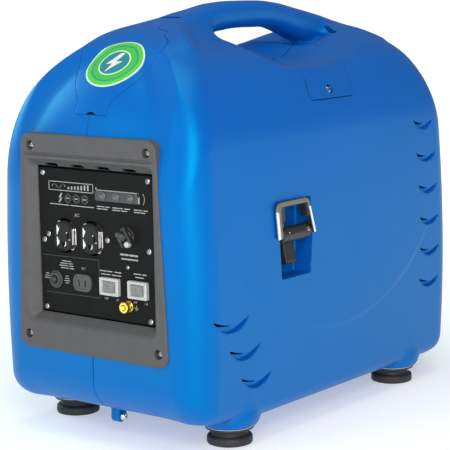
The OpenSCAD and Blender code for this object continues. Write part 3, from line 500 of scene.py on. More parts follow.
# fuel lid outline on its slanted plane: half width against v = (y + z) / sqrt 2
LID_HALF = [(21.5, 74.5), (22.3, 77), (22.6, 85), (23.6, 89.5), (29, 97.5), (38.0, 108.5), (44.8, 124), (50.3, 139),
            (53, 150), (54, 158), (53, 168), (49, 175), (42, 180), (36.8, 184), (35.6, 190), (31, 194.5), (20, 197.2),
            (14.8, 199.8), (12.9, 211)]


def lid_outline(v1):
    a = LID_HALF + [(11.8, v1)]
    return a + [(-p, q) for p, q in reversed(a)]


def lid_zone(v1):
    pts = lid_outline(v1)
    return near((-60, -262, 330), (60, -92, 470),
                lambda x, y, z: np.maximum(d_poly(x, (y + z) * 0.70710678, pts), 372.0 - (z - y) * 0.70710678), 6)


LH_Y, LH_Z = -111.0, 437.5
lid_in = lid_zone(231.3)
lid_out = lid_zone(231.0)
hinge_well = near((-15, -118, 430), (15, -104, 446), lambda x, y, z: np.maximum(np.hypot(y - LH_Y, z - LH_Z) - 5.0, np.abs(x) - 13.6), 6)

# service cover outline, seen from above
COVER = [(25, 92), (28, 76), (33, 65), (42.4, 43.5), (53.5, 13.9), (60, -6), (68, -17.5), (80, -23), (99, -24.6), (106, -22.8),
         (112.9, -21.8), (118.3, -25.5), (122.3, -27.3), (127, -26.5), (160, -26.5), (160, 55), (126, 54), (121.3, 56.6), (116, 60),
         (110, 62), (96, 72), (70, 84), (45, 93)]


def cover_gap(x, y, z):
    """Half width of the joint: open along the front and the bottom edge, tight elsewhere."""
    return 0.08 + 0.37 * np.maximum(np.maximum(1.0 - sstep(36.0, 52.0, y), 1.0 - sstep(350.6, 353.0, z)), 1.0 - sstep(50.0, 60.0, x))


cover_zone = near((8, -30, 335), (165, 104, 430), lambda x, y, z: rmax(d_poly(x, y, COVER), 349.9 - z, 5.0), 6)

PANEL_HOLE = [(-88, 306), (-94, 120), (94, 120), (88, 306)]
panel_hole = near((-110, -262, 100), (110, -225, 330),
                  lambda x, y, z: np.maximum(union(d_poly(x, z, PANEL_HOLE) - 0.5, *[np.hypot(np.abs(x) - a, z - b) - 7.5 for a, b in ((80.2, 313.0), (90.5, 109.5))]), y + 231.0), 8)

LATCH_Y = -80.5


POCKET = [(-108.1, 248.6), (-106.6, 171.1), (-58.7, 171.1), (-53.5, 208.0), (-53.5, 248.6)]


def latch_pocket(x, y, z):
    """Pocket of the latch, with a deeper well for the hub of the lever at its front end."""
    o = rmax(d_poly(y, z, POCKET) - 2.5, 119.0 - x, 3.0)
    well = np.maximum(d_rect(y, z, LATCH_Y - 15.0, 226.0, 26.0, 26.0, 3.0), 112.0 - x)
    return np.minimum(o, well)


def starter_pocket(x, y, z):
    return rmax(d_rect(y, z, -173.0, 210.0, 70.0, 30.0, 8.0), x + 116.0, 4.0)


def choke_dish(x, y, z):
    return rmax(d_disc(y, z, -100.0, 210.0, 15.0), x + 126.0, 3.0)


near_latch = near((110, -112, 164), (170, -49, 259), latch_pocket, 8)
near_starter = near((-170, -210, 193), (-114, -136, 227), starter_pocket, 8)
near_choke = near((-170, -116, 194), (-124, -84, 226), choke_dish, 8)

# louvres: y of the two ends, and height of the ends
LOUVRES = [(-223, -164, 142.6), (-199, -145.3, 109.2), (-178.5, -124.6, 75.8),
           (165.5, 210.2, 312.2), (167.2, 211.4, 273.9), (168.2, 212, 236.2), (168.8, 212.3, 198.4), (168, 213, 162), (167, 212, 124.4)]


def louvre_parts(y, z, l):
    """Distances to the lower arc (inside negative) and below the upper lip of one louvre."""
    y0, y1, zt = l
    c = (y1 - y0) / 2.0
    s2, s1 = 0.255 * 2 * c, 0.115 * 2 * c
    R2, R1 = (c * c + s2 * s2) / (2 * s2), (c * c + s1 * s1) / (2 * s1)
    ym = (y0 + y1) / 2.0
    low = np.hypot(y - ym, z - (zt - s2 + R2)) - R2
    lip = R1 - np.hypot(y - ym, z - (zt - s1 + R1))
    return low, lip


def louvres(x, y, z, b, grow=0.0):
    """All louvre recesses of both sides; b is the distance to the outer surface.

    The floor runs up to the surface behind the middle of each louvre and stays deep at its front end."""
    out = np.full(x.shape, 20.0)
    for l in LOUVRES:
        m = (np.abs(x) > 90) & (y > l[0] - 12) & (y < l[1] + 12) & (z < l[2] + 14) & (z > l[2] - 32)
        if m.any():
            low, lip = louvre_parts(y[m], z[m], l)
            depth = np.clip(-b[m], 0, 9)
            d = np.maximum(low + 0.25 * depth, lip - 0.25 * depth)
            u = (y[m] - l[0]) / (l[1] - l[0])
            v = np.clip(-low / (np.maximum(-low, 0) + np.maximum(-lip, 0) + 0.3), 0, 1)
            fl = 4.4 * (1.0 - 0.95 * v * sstep(0.22, 0.58, u))
            out[m] = np.minimum(out[m], np.maximum(d - grow, -(b[m] + fl + grow)))
    return out


def louvre_slots(x, y, z, b):
    """Open slots through the top of each recess, under its lip."""
    out = np.full(x.shape, 20.0)
    for l in LOUVRES:
        m = (np.abs(x) > 90) & (y > l[0] - 12) & (y < l[1] + 12) & (z < l[2] + 14) & (z > l[2] - 32)
        if m.any():
            low, lip = louvre_parts(y[m], z[m], l)
            u = (y[m] - l[0]) / (l[1] - l[0])
            span = (np.abs(u - 0.235) - 0.205) * (l[1] - l[0])
            out[m] = np.minimum(out[m], common(lip - 1.1, -lip - 1.7 + 2.2 * u, span, -(b[m] + 16.0)))
    return out


SLOT_A, SLOT_B = np.array([26.2, 146.9, 421.9]), np.array([42.6, 140.4, 414.4])
SLOT_N = np.array([0.302, -0.332, 0.894])


def roof_slot(x, y, z):
    """Oval blind hole at the root of the bar, sunk square to the surface."""
    e = SLOT_B - SLOT_A
    e = e - SLOT_N * (e @ SLOT_N)
    px, py, pz = x - SLOT_A[0], y - SLOT_A[1], z - SLOT_A[2]
    t = px * SLOT_N[0] + py * SLOT_N[1] + pz * SLOT_N[2]
    px, py, pz = px - t * SLOT_N[0], py - t * SLOT_N[1], pz - t * SLOT_N[2]
    k = np.clip((px * e[0] + py * e[1] + pz * e[2]) / (e @ e), 0.12, 0.88)
    return np.maximum(np.sqrt((px - k * e[0]) ** 2 + (py - k * e[1]) ** 2 + (pz - k * e[2]) ** 2) - 3.4, np.abs(t) - 14.0)


near_slot = near((16, 132, 396), (54, 160, 436), roof_slot, 5)
SCREW_P = np.array([120.1, 15.4, 360.2])
SCREW_N = np.array([0.886, 0.0, 0.463])


def cover_screw_hole(x, y, z):
    dx, dy, dz = x - SCREW_P[0], y - SCREW_P[1], z - SCREW_P[2]
    t = dx * SCREW_N[0] + dz * SCREW_N[2]
    r = np.sqrt(np.maximum(dx * dx + dy * dy + dz * dz - t * t, 0))
    return np.maximum(r - 5.4, -(t + 2.6))


near_cscrew = near((104, 9, 346), (134, 26, 376), cover_screw_hole, 5)
WALL = 3.2
SKIN = 4.8


def shell(x, y, z, sign):
    b = form(x, y, z)
    pock = near_latch(x, y, z) if sign > 0 else np.minimum(near_starter(x, y, z), near_choke(x, y, z))
    louv = louvres(x, y, z, b)
    cav = common(b + SKIN, -(pock - SKIN), -louvres(x, y, z, b, SKIN))
    s = common(b, -cav, -pock, -louv, -louvre_slots(x, y, z, b))
    s = common(s, -(lid_out(x, y, z) - 0.1), -hinge_well(x, y, z), -panel_hole(x, y, z))
    seam = 0.06 + (1.0 - sstep(-200.0, -150.0, y)) * (0.24 + np.maximum(0.0, 0.9 + b) * 0.9 * (z < 110))
    if sign > 0:
        s = common(s, -(cover_zone(x, y, z) - cover_gap(x, y, z)), -near_slot(x, y, z), seam - x)
    else:
        s = common(s, x + seam)
    # rear exhaust opening
    return np.maximum(s, -np.maximum(np.hypot(x, z - 235.0) - 44.0, 215.0 - y))


H_SHELL = 2.0
sculpt("right_shell_skin", lambda x, y, z: shell(x, y, z, 1), (0, -252, 14), (146, 252, 458), H_SHELL, M["blue"],
       replaces="right_shell")
sculpt("left_shell_skin", lambda x, y, z: shell(x, y, z, -1), (-146, -252, 14), (0, 252, 458), H_SHELL, M["blue"],
       replaces="left_shell")


def lid(x, y, z):
    b = form(x, y, z)
    s = common(b, -(b + WALL), lid_in(x, y, z) + 0.45)
    # finger notch
    s = np.maximum(s, -np.maximum(np.hypot(x - 0.8, z - 340.6) - 9.8, y + 225))
    r = np.hypot(y - LH_Y, z - LH_Z)
    knuckle = rmax(r - 3.45, np.abs(x) - 11.6, 0.5)
    return np.maximum(np.minimum(s, knuckle), 1.5 - r)


sculpt("fuel_lid_skin", lid, (-56, -252, 335), (56, -100, 450), 1.5, M["blue"], "fuel_lid", "fuel_lid")


def cover(x, y, z):
    b = form(x, y, z)
    return common(b, -(b + WALL), cover_zone(x, y, z) + cover_gap(x, y, z), -near_cscrew(x, y, z))


sculpt("service_cover_skin", cover, (20, -30, 345), (132, 104, 425), 1.5, M["blue"], replaces="service_cover")

sculpt("lid_notch_stop", lambda x, y, z: d_box(x, y, z, (-12.0, -237.0, 340.0), (13.0, -233.0, 355.0), 1.0), (-13, -238, 339), (14, -232, 356), 1.0,
       M["rubber"])

# ------------------------------------------------------------------ small-part helpers


class Bag:
    """Collects closed solids into one mesh."""

    def __init__(self):
        self.v, self.f = [], []

    def add(self, V, F):
        k = len(self.v)
        self.v += [tuple(p) for p in V]
        self.f += [tuple(i + k for i in g) for g in F]

    def prism(self, outline, y0, y1, bevel=0.0, place=None):
        """Outline in (x, z), wound anticlockwise from the front, from y0 (front) back to y1."""
        P = [Vector((p[0], p[1])) for p in outline]
        n = len(P)
        rings = []
        steps = 4 if bevel > 0 else 0
        for k in range(steps + 1):
            a = (k / steps) * math.pi / 2 if steps else math.pi / 2
            rings.append((bevel * (1 - math.sin(a)), y0 + bevel * (1 - math.cos(a)) if steps else y0))
        rings.append((0.0, y1))
        V = []
        for ins, y in rings:
            for i in range(n):
                a, b, c = P[i - 1], P[i], P[(i + 1) % n]
                d1, d2 = (b - a).normalized(), (c - b).normalized()
                nn = Vector((-d1.y - d2.y, d1.x + d2.x))
                nn = nn / max(nn.length_squared / 2.0, 0.3)
                q = b + nn * ins
                V.append((q.x, y, q.y))
        F = [tuple(range(n)), tuple(reversed(range((len(rings) - 1) * n, len(rings) * n)))]
        for r in range(len(rings) - 1):
            for i in range(n):
                j = (i + 1) % n
                F.append((r * n + j, r * n + i, (r + 1) * n + i, (r + 1) * n + j))
        if place is not None:
            V = [place @ Vector(p) for p in V]
        self.add(V, F)

    def lathe(self, prof, origin, axis, n=40, ref=None, wob=None):
        """Closed profile of (radius, height) from axis to axis, turned about an axis."""
        axis = Vector(axis).normalized()
        ref = Vector(ref) if ref else (Vector((0, 0, 1)) if abs(axis.z) < 0.9 else Vector((1, 0, 0)))
        u = (ref - axis * ref.dot(axis)).normalized()
        w = axis.cross(u)
        V, F = [], []
        m = len(prof)
        for r, hh in prof:
            for i in range(n):
                a = 2 * math.pi * i / n
                rr = r * (wob(a, hh) if wob else 1.0)
                V.append(Vector(origin) + axis * hh + u * (rr * math.cos(a)) + w * (rr * math.sin(a)))
        for k in range(m - 1):
            for i in range(n):
                j = (i + 1) % n
                F.append((k * n + i, k * n + j, (k + 1) * n + j, (k + 1) * n + i))
        F.append(tuple(reversed(range(n))))
        F.append(tuple(range((m - 1) * n, m * n)))
        self.add(V, F)

    def stroke(self, pts, w, y, t=0.25):
        """A printed line through points in (x, z) on the plane y."""
        for p, q in zip(pts[:-1], pts[1:]):
            a = math.atan2(q[1] - p[1], q[0] - p[0])
            o = [(q[0] + w / 2 * math.cos(a + b), q[1] + w / 2 * math.sin(a + b)) for b in
                 [math.pi * (-0.5 + k / 5) for k in range(6)]]
            o += [(p[0] + w / 2 * math.cos(a + b), p[1] + w / 2 * math.sin(a + b)) for b in
                  [math.pi * (0.5 + k / 5) for k in range(6)]]
            self.prism(o, y - t, y + 0.15)

    def piece(self, name, mat, body="housing", replaces=(), angle=38.0):
        o = add_mesh(name, np.array([tuple(p) for p in self.v]), self.f, mat, body, replaces)
        bm = bmesh.new()
        bm.from_mesh(o.data)
        bmesh.ops.recalc_face_normals(bm, faces=bm.faces[:])
        for e in bm.edges:
            e.smooth = len(e.link_faces) == 2 and e.calc_face_angle(3.0) < math.radians(angle)
        bm.to_mesh(o.data)
        bm.free()
        return o


def rounded(cx, cz, w, h, r, n=5):
    o = []
    for sx, sz, a0 in ((1, 1, 0), (-1, 1, 90), (-1, -1, 180), (1, -1, 270)):
        for k in range(n + 1):
            a = math.radians(a0 + 90 * k / n)
            o.append((cx + sx * (w / 2 - r) + r * math.cos(a), cz + sz * (h / 2 - r) + r * math.sin(a)))
    return o


def arc_pts(cx, cz, r, a0, a1, n):
    return [(cx + r * math.cos(math.radians(a0 + (a1 - a0) * k / n)), cz + r * math.sin(math.radians(a0 + (a1 - a0) * k / n)))
            for k in range(n + 1)]


def screw_head(c, n, r, hgt, slot_a=0.3):
    """Distance to a domed cross-recess screw head standing on c along n, in its own frame."""
    c = np.array(c, float)
    n = np.array(n, float) / np.linalg.norm(n)
    ref = np.array([0, 0, 1.0]) if abs(n[2]) < 0.9 else np.array([1.0, 0, 0])
    u = ref - n * (ref @ n)
    u /= np.linalg.norm(u)
    w = np.cross(n, u)
    ca, sa = math.cos(slot_a), math.sin(slot_a)
    u, w = u * ca + w * sa, w * ca - u * sa
    R = (r * r + hgt * hgt) / (2 * hgt)

    def f(x, y, z):
        dx, dy, dz = x - c[0], y - c[1], z - c[2]
        t = dx * n[0] + dy * n[1] + dz * n[2]
        a = dx * u[0] + dy * u[1] + dz * u[2]
        b = dx * w[0] + dy * w[1] + dz * w[2]
        rr = np.hypot(a, b)
        dome = np.hypot(rr, t + R - hgt) - R
        d = rmax(rmax(dome, rr - r, 0.5), -t - 1.2, 0.2)
        k = 0.15 * r
        lim = 0.62 * r - 0.5 * np.maximum(hgt - t, 0)
        cross = np.minimum(np.maximum(np.abs(a) - k, np.abs(b) - lim), np.maximum(np.abs(b) - k, np.abs(a) - lim))
        return np.maximum(d, -np.maximum(cross, hgt * 0.15 - t))
    box = (c - r - hgt - 1.5, c + r + hgt + 1.5)
    return near(box[0], box[1], f, 2.0), box


def screws(name, items, mat, body="housing", replaces=(), h=0.36):
    """Several screw heads as one piece: items of (centre, normal, radius, height, turn)."""
    vs, qs, ns, k = [], [], [], 0
    for it in items:
        f, b = screw_head(*it)
        V, Q, N = contour(f, b[0], b[1], h)
        vs.append(V)
        ns.append(N)
        qs.append(Q + k)
        k += len(V)
    return add_mesh(name, np.concatenate(vs), np.concatenate(qs), mat, body, replaces, np.concatenate(ns))


# ------------------------------------------------------------------ control panel

BEZEL_IN = [(-81.13, 313), (-91.35, 108), (90.3, 108), (79.9, 313)]
BEZEL_SCREWS = [(-80.2, 313), (80.2, 313), (-90.5, 109.5), (90.5, 109.5)]
FACE_Y, PLATE_Y = -250.4, -239.5


def bezel(x, y, z):
    o = d_poly(x, z, BEZEL_IN) - 13.0
    d = rmax(o, np.abs(y + 244.2) - 6.2, 1.6)
    dep = np.maximum(y - FACE_Y, -3.0)
    rec = (d_rect(x, z, 0.0, 212.4, 177.0, 174.4, 9.0) + 0.80 * dep) * 0.78
    rec = np.maximum(rec, y + 238.3)
    d = rmax(d, -rec, 2.2)
    d = np.maximum(d, -np.maximum(d_rect(x, z, 0, 211.8, 150, 148, 4), y + 230))
    # brow over the recess with a groove above it
    brow = np.hypot(np.hypot(y + 249.4, z - 301.3), np.maximum(np.abs(x) - 86.0, 0)) - 2.5
    d = smin(d, brow, 1.2)
    groove = np.hypot(np.hypot(y + 251.0, z - 304.5), np.maximum(np.abs(x) - 87.0, 0)) - 1.5
    d = np.maximum(d, -groove)
    for cx in (-57.0, -20.4, 15.3, 51.0):
        d = np.maximum(d, -np.maximum(d_rect(x, z, cx, 293.2, 18.0, 3.4, 1.5), y + 234))
    for cx, cz in BEZEL_SCREWS:
        r = np.hypot(x - cx, z - cz)
        hole = np.maximum(r - 5.0 - np.maximum(-(y - FACE_Y) - 0.0 + 0.8, 0) * 0.7, y + 244.0)
        d = np.maximum(d, -hole)
    return d


sculpt("panel_bezel_frame", bezel, (-106, -253, 94), (106, -237, 327), 1.3, M["grey"], replaces="panel_bezel")

OUTLETS = [(-43.0, 218.2), (-5.6, 218.2)]


def control_plate(x, y, z):
    d = slab(d_rect(x, z, 0.0, 212.2, 157.6, 153.6, 3.0), y, PLATE_Y, -237.9, 0.35)
    for cx, cz in OUTLETS:
        d = np.maximum(d, -np.maximum(d_disc(x, z, cx, cz, 18.2), np.abs(x - cx) - 16.6))
    return d


sculpt("control_plate_sheet", control_plate, (-79, -240, 135), (79, -237.5, 290), 1.0, M["plate"], replaces="control_plate")
PL = [(-73, 283.5), (73, 283.5), (-73, 211.8), (73, 211.8), (-73, 139), (73, 139)]
screws("panel_screws", [((a, PLATE_Y, b), (0, -1, 0), 3.6, 2.0, 0.4 + i) for i, (a, b) in enumerate(PL)],
       M["screw"], replaces="plate_screws")
screws("bezel_screw_heads", [((a, -246.4, b), (0, -1, 0), 4.1, 2.2, 0.2 + i) for i, (a, b) in enumerate(BEZEL_SCREWS)],
       M["screw"], replaces="bezel_screws")
screws("receptacle_screw_heads", [((-66.8, PLATE_Y, 218.3), (0, -1, 0), 3.4, 1.8, 0.9), ((16.6, PLATE_Y, 218.3), (0, -1, 0), 3.4, 1.8, 0.1),
                                  ((43.8, PLATE_Y, 192.6), (0, -1, 0), 2.6, 1.6, 0.5)],
       M["screw"], replaces="receptacle_screws")


def outlet_faces(x, y, z):
    d = np.full(x.shape, 9.0)
    for cx, cz in OUTLETS:
        a, b = x - cx, z - cz
        face = rmax(rmax(np.hypot(a, b) - 16.2, np.abs(a) - 13.6, 0.8), np.abs(y + 240.0) - 2.8, 0.7)
        rim = np.abs(np.maximum(np.hypot(a, b) - 14.6, np.abs(a) - 12.2)) - 0.55
        face = np.maximum(face, -np.maximum(rim, y + 242.1))
        slot = np.maximum(d_rect(a, b, 7.0, 1.0, 2.2, 8.6, 0.6), y + 238.0)
        gnd = np.maximum(np.maximum(np.hypot(a - 0.5, b + 8.6) - 3.0, np.where(b > -8.6, np.abs(a - 0.5) - 3.0, -9)), y + 238.0)
        gnd = np.maximum(gnd, b + 6.2)
        win = np.maximum(d_rect(a, b, -6.9, 0.0, 5.4, 23.0, 1.0), y + 241.8)
        d = np.minimum(d, np.maximum(face, -np.minimum(np.minimum(slot, gnd), win)))
    return d


sculpt("outlet_faces", outlet_faces, (-60, -245, 200), (11, -236, 236), 0.55, M["faceblack"], replaces="duplex_receptacle")
bag = Bag()
for cx, cz in OUTLETS:
    for s in (1, -1):
        o = [(-9.4, 0.7), (-8.6, 0.7), (-5.9, 6.2), (-5.9, 8.2), (-8.6, 11.2), (-9.4, 11.2)]
        o = [(cx + a, cz + s * b) for a, b in o]
        bag.prism(o if s > 0 else o[::-1], -242.6, -240.8, 0.25)
    # painted highlight: a chrome strip on the front edge of the face
    bag.prism(rounded(cx + 13.6, cz, 0.9, 17.4, 0.4), -243.0, -240.0, 0.2)
    # plated edge of the strap beside the face
    bag.prism(rounded(cx + 15.6, cz, 1.5, 17.4, 0.5), -240.2, -237.0, 0.2)
    bag.prism(rounded(cx + 5.2, cz + 3.8, 1.6, 1.6, 0.7), -243.1, -241.6, 0.2)
    bag.prism(rounded(cx + 9.2, cz - 3.4, 2.6, 1.0, 0.4), -243.1, -241.6, 0.2)
    bag.prism([(cx + 2.6, cz - 11.2), (cx + 4.4, cz - 9.0), (cx + 4.2, cz - 5.6), (cx + 3.1, cz - 5.6), (cx + 3.1, cz - 8.6), (cx + 1.2, cz - 11.0)], -243.1, -241.2, 0.2)
bag.prism(rounded(-24.3, 218.2, 84, 30, 3), -238.4, -237.2)
bag.piece("outlet_contacts_and_edge_highlight", M["chrome"])

# status lamps on a paler block
bag = Bag()
bag.prism(rounded(32.0, 264.2, 61.0, 10.6, 2.0), PLATE_Y - 0.9, PLATE_Y + 0.4, 0.4)
bag.piece("lamp_block", M["collar"], replaces="led_block")
bag = Bag()
for cx in (12.2, 31.2, 50.4):
    bag.lathe([(0.01, 0), (4.6, 0), (4.6, 1.6), (4.2, 2.0), (3.5, 2.0), (3.2, 1.5), (3.2, 0.9), (0.01, 0.9)], (cx, PLATE_Y - 0.6, 264.2), (0, -1, 0), 36)
bag.piece("lamp_rings", M["ring"])
bag = Bag()
for cx in (12.2, 31.2, 50.4):
    bag.lathe([(0.01, 0.8), (3.1, 0.8), (3.0, 1.7), (2.3, 2.5), (1.2, 2.95), (0.01, 3.0)], (cx, PLATE_Y - 0.5, 264.2), (0, -1, 0), 30)
bag.piece("lamp_lenses", M["lens"], replaces="led_lenses")


def rocker_frame(cx, cz):
    def f(x, y, z):
        d = rmax(d_rect(x, z, cx, cz, 26.0, 18.6, 1.6), np.abs(y + 240.6) - 3.3, 1.1)
        return np.maximum(d, -np.maximum((d_rect(x, z, cx, cz, 19.4, 12.8, 0.8) + 0.3 * (y + 243.9)) * 0.95, y + 234))
    return near((cx - 14, -245, cz - 10.5), (cx + 14, -236, cz + 10.5), f, 3)


ECO, ENG = (19.9, 170.4), (58.4, 170.6)
for nm, (cx, cz) in (("idle_switch_frame", ECO), ("engine_switch_frame", ENG)):
    f = rocker_frame(cx, cz)
    sculpt(nm, f, (cx - 13.4, -244.2, cz - 9.7), (cx + 13.4, -237, cz + 9.7), 0.5, M["silver"],
           replaces="switch_frames" if nm.startswith("idle") else ())


def rocker(cx, cz):
    """Rocker cap leaning 8 degrees about its pivot, with a hollow face and a ring mark."""
    ca, sa = math.cos(math.radians(-8.0)), math.sin(math.radians(-8.0))

    def f(x, y, z):
        p, q, b = x - cx, y + 237.9, z - cz
        a, t = p * ca - q * sa, p * sa + q * ca
        d = rmax(d_rect(a, b, 0, 0, 17.4, 11.4, 0.8), np.maximum((-t - 4.6 + 0.30 * np.maximum(a, 0.0) - 0.10 * np.minimum(a, 0.0)) * 0.96, t - 0.8), 0.6)
        mark = np.maximum(np.abs(np.hypot(a + 4.8, b) - 2.0) - 0.38, t + 3.7)
        bar = np.maximum(d_rect(a, b, 4.8, 0, 0.8, 4.4, 0.2), t + 2.7)
        return np.maximum(d, -np.minimum(mark, bar))
    return f


for nm, (cx, cz), bd in (("idle_rocker_cap", ECO, "idle_rocker"), ("engine_rocker_cap", ENG, "engine_rocker")):
    sculpt(nm, rocker(cx, cz), (cx - 10, -245, cz - 6.5), (cx + 10, -236, cz + 6.5), 0.45, M["rocker"], bd, bd)

# breakers, direct-current socket and earth terminal
AC_C, DCB_C, DC_C, GND_C = (43.6, 224.6), (-57.6, 170.4), (-18.6, 170.3), (43.6, 152.0)


def ac_collar(x, y, z):
    a, b = x - AC_C[0], z - AC_C[1]
    d = rmax(np.hypot(a, b) - 10.4, np.abs(y + 239.6) - 1.4, 0.6)
    d = np.minimum(d, rmax(np.hypot(a, b) - 8.4, np.abs(y + 240.6) - 2.6, 0.8))
    # two cheeks standing either side of the button, set slantwise
    ca, sa = math.cos(math.radians(-57)), math.sin(math.radians(-57))
    u, v = a * ca + b * sa, -a * sa + b * ca
    bar = rmax(rmax(np.abs(u) - 9.0, np.abs(np.abs(v) - 5.9) - 1.5, 1.2), np.abs(y + 242.6) - 4.6, 1.2)
    return np.maximum(smin(d, bar, 1.0), -np.maximum(np.hypot(a, b) - 4.35, y + 236.5))


sculpt("ac_breaker_base", ac_collar, (32, -248, 212), (56, -237.5, 237), 0.5, M["black"], replaces="ac_breaker_collar")


def ac_stub(x, y, z):
    t = np.clip((x - 36.8) / 6.0, 0, 1)
    d = np.sqrt((x - 36.8 - 6.0 * t) ** 2 + (y + 246.2) ** 2 + (z - 227.0 + 1.0 * t) ** 2) - 2.7
    return np.minimum(d, rmax(np.hypot(x - 40.6, z - 222.0) - 2.0, np.abs(y + 243) - 5, 0.5) * 1.0)


sculpt("ac_breaker_guard", ac_stub, (28, -251, 217), (46, -237.6, 232), 0.5, M["collar"])
bag = Bag()
bag.lathe([(0.01, 0), (3.2, 0), (3.3, 3.0), (2.9, 4.4), (2.0, 5.3), (1.0, 5.7), (0.01, 5.8)], (48.6, PLATE_Y - 3.0, 217.6), (0, -1, 0), 32)
bag.lathe([(0.01, 0), (1.5, 0), (1.5, 2.2), (1.0, 2.9), (0.01, 3.1)], (43.8, PLATE_Y - 0.2, 234.0), (0, -1, 0), 24)
bag.piece("ac_breaker_nub", M["silver"])
bag = Bag()
bag.lathe([(0.01, -6), (4.0, -6), (4.0, 6.6), (3.8, 7.4), (3.2, 8.0), (2.2, 8.35), (0.01, 8.4)], (AC_C[0], PLATE_Y, AC_C[1]), (0, -1, 0), 40)
bag.piece("ac_breaker_plunger", M["black"], "ac_breaker_button", "ac_breaker_button")
bag = Bag()
bag.lathe([(4.3, 0.4), (4.3, -0.5), (9.4, -0.5), (9.5, 0.6), (9.2, 1.3), (8.3, 1.6), (7.6, 1.7), (7.4, 2.9), (6.9, 3.5), (5.4, 3.7), (4.7, 3.4), (4.3, 2.8), (4.3, 0.4)][1:],
          (DCB_C[0], PLATE_Y, DCB_C[1]), (0, -1, 0), 48)
bag.piece("dc_breaker_ring", M["collar"], replaces="dc_breaker_collar")
bag = Bag()
bag.lathe([(0.01, -6), (4.05, -6), (4.05, 4.6), (3.7, 5.6), (2.8, 6.2), (1.6, 6.0), (0.01, 5.8)], (DCB_C[0], PLATE_Y, DCB_C[1]), (0, -1, 0), 40)
bag.piece("dc_breaker_plunger", M["black"], "dc_breaker_button", "dc_breaker_button")


def dc_socket(x, y, z):
    a, b = x - DC_C[0], z - DC_C[1]
    o = rmax(np.maximum(np.abs(a) - 12.6, np.abs(b) - 9.2), (np.abs(a) + np.abs(b) * 0.9 - 17.2) * 0.74, 2.4)
    d = rmax(o, np.abs(y + 240.1) - 2.4, 0.9)
    inner = np.maximum(o + 2.6, y + 241.9)
    for s in (-1, 1):
        aa = a - s * 4.6 - s * 0.16 * b
        inner = np.minimum(inner, np.maximum(d_rect(aa, b, 0, -0.4, 2.1, 7.4, 0.5), y + 238.2))
    return np.maximum(d, -inner)


sculpt("dc_socket_face", dc_socket, (-33, -243, 160), (-5, -237.5, 181), 0.5, M["dcgrey"], replaces="dc_outlet")


def hexa(a, b):
    a, b = np.abs(a), np.abs(b)
    return np.maximum(b, a * 0.8660254 + b * 0.5)


def brass_nut(x, y, z):
    a, b = x - GND_C[0], z - GND_C[1]
    r = np.hypot(a, b)
    th = np.arctan2(b, a)
    knurl = r - 5.7 - 0.22 * np.cos(20 * th)
    d = rmax(knurl, np.abs(y + 246.0) - 2.3, 0.7)
    d = np.minimum(d, rmax(r - 4.6, np.abs(y + 243.4) - 1.0, 0.2))
    return np.maximum(d, -(r - 3.15))


def brass_stud(x, y, z):
    a, b = x - GND_C[0], z - GND_C[1]
    r = np.hypot(a, b)
    d = rmax(r - 2.5 - 0.12 * np.sin(y * 6.0), np.abs(y + 242.8) - 6.4, 0.5)
    d = np.minimum(d, rmax(np.maximum(hexa(a, b) - 4.9, r - 5.5), np.abs(y + 240.9) - 1.35, 0.4))
    return np.minimum(d, rmax(r - 5.9, np.abs(y + 239.2) - 0.55, 0.3))


sculpt("earth_thumb_nut", brass_nut, (36, -251, 145), (51, -241, 160), 0.45, M["brass"], "ground_nut", "ground_nut")
sculpt("earth_stud", brass_stud, (36, -252, 145), (51, -236, 160), 0.45, M["brass"], replaces="ground_stud")

# printed frames, rules and plain pictograms on the plate
LETTER = {
    "A": [[(0, 0), (1.1, 3.2), (2.2, 0)], [(0.45, 1.2), (1.75, 1.2)]],
    "C": [arc_pts(1.3, 1.6, 1.45, 45, 315, 9)],
    "D": [[(0, 0), (0, 3.2), (0.9, 3.2), (1.9, 2.5), (2.2, 1.6), (1.9, 0.7), (0.9, 0), (0, 0)]],
    "O": [arc_pts(1.3, 1.6, 1.5, 0, 360, 14)],
    "N": [[(0, 0), (0, 3.2), (2.0, 0), (2.0, 3.2)]],
    "F": [[(0, 0), (0, 3.2), (1.9, 3.2)], [(0, 1.7), (1.5, 1.7)]],
}


def letters(bag, word, x, z, s, w):
    for ch in word:
        for line in LETTER[ch]:
            bag.stroke([(x + a * s, z + b * s) for a, b in line], w, PLATE_Y)
        x += 3.1 * s


def dashes(bag, x0, x1, z, w, cuts=3):
    n = cuts
    for k in range(n):
        a = x0 + (x1 - x0) * k / n
        b = x0 + (x1 - x0) * (k + (0.62 if k % 2 else 0.82)) / n
        bag.stroke([(a, z), (b, z)], w, PLATE_Y)


bag = Bag()
box = [(-64, 275), (-64, 266), (-1.5, 266), (-1.5, 275), (-64, 275)]
bag.stroke(box, 0.8, PLATE_Y)
# wave and bars in the box
wave = [(-59 + 18 * k / 24, 270.5 + 2.4 * math.sin(2 * math.pi * 1.5 * k / 24)) for k in range(25)]
bag.stroke(wave, 1.1, PLATE_Y)
for k in range(7):
    bag.stroke([(-36 + 4.6 * k, 268.6), (-36 + 4.6 * k, 269.6 + 0.55 * k)], 2.1, PLATE_Y)
# bolt and bars where a large mark would be
bag.stroke([(-46, 262.6), (-50, 258.0), (-45.6, 258.4), (-49.6, 253.8)], 1.7, PLATE_Y)
for k, hh in enumerate((5.2, 8.0, 6.4)):
    bag.stroke(arc_pts(-37.5 + 12.0 * k, 258.2, 4.0, 0, 360, 16), 1.7, PLATE_Y)
    bag.stroke([(-37.5 + 12.0 * k - 1.6, 258.2), (-37.5 + 12.0 * k + 1.6, 258.2)], 1.2, PLATE_Y)
bag.stroke([(-63, 251.0), (-36, 251.0)], 0.9, PLATE_Y)
bag.stroke([(-33.5, 251.0), (-0.8, 251.0)], 0.9, PLATE_Y)
letters(bag, "AC", -28.0, 239.6, 1.05, 0.7)
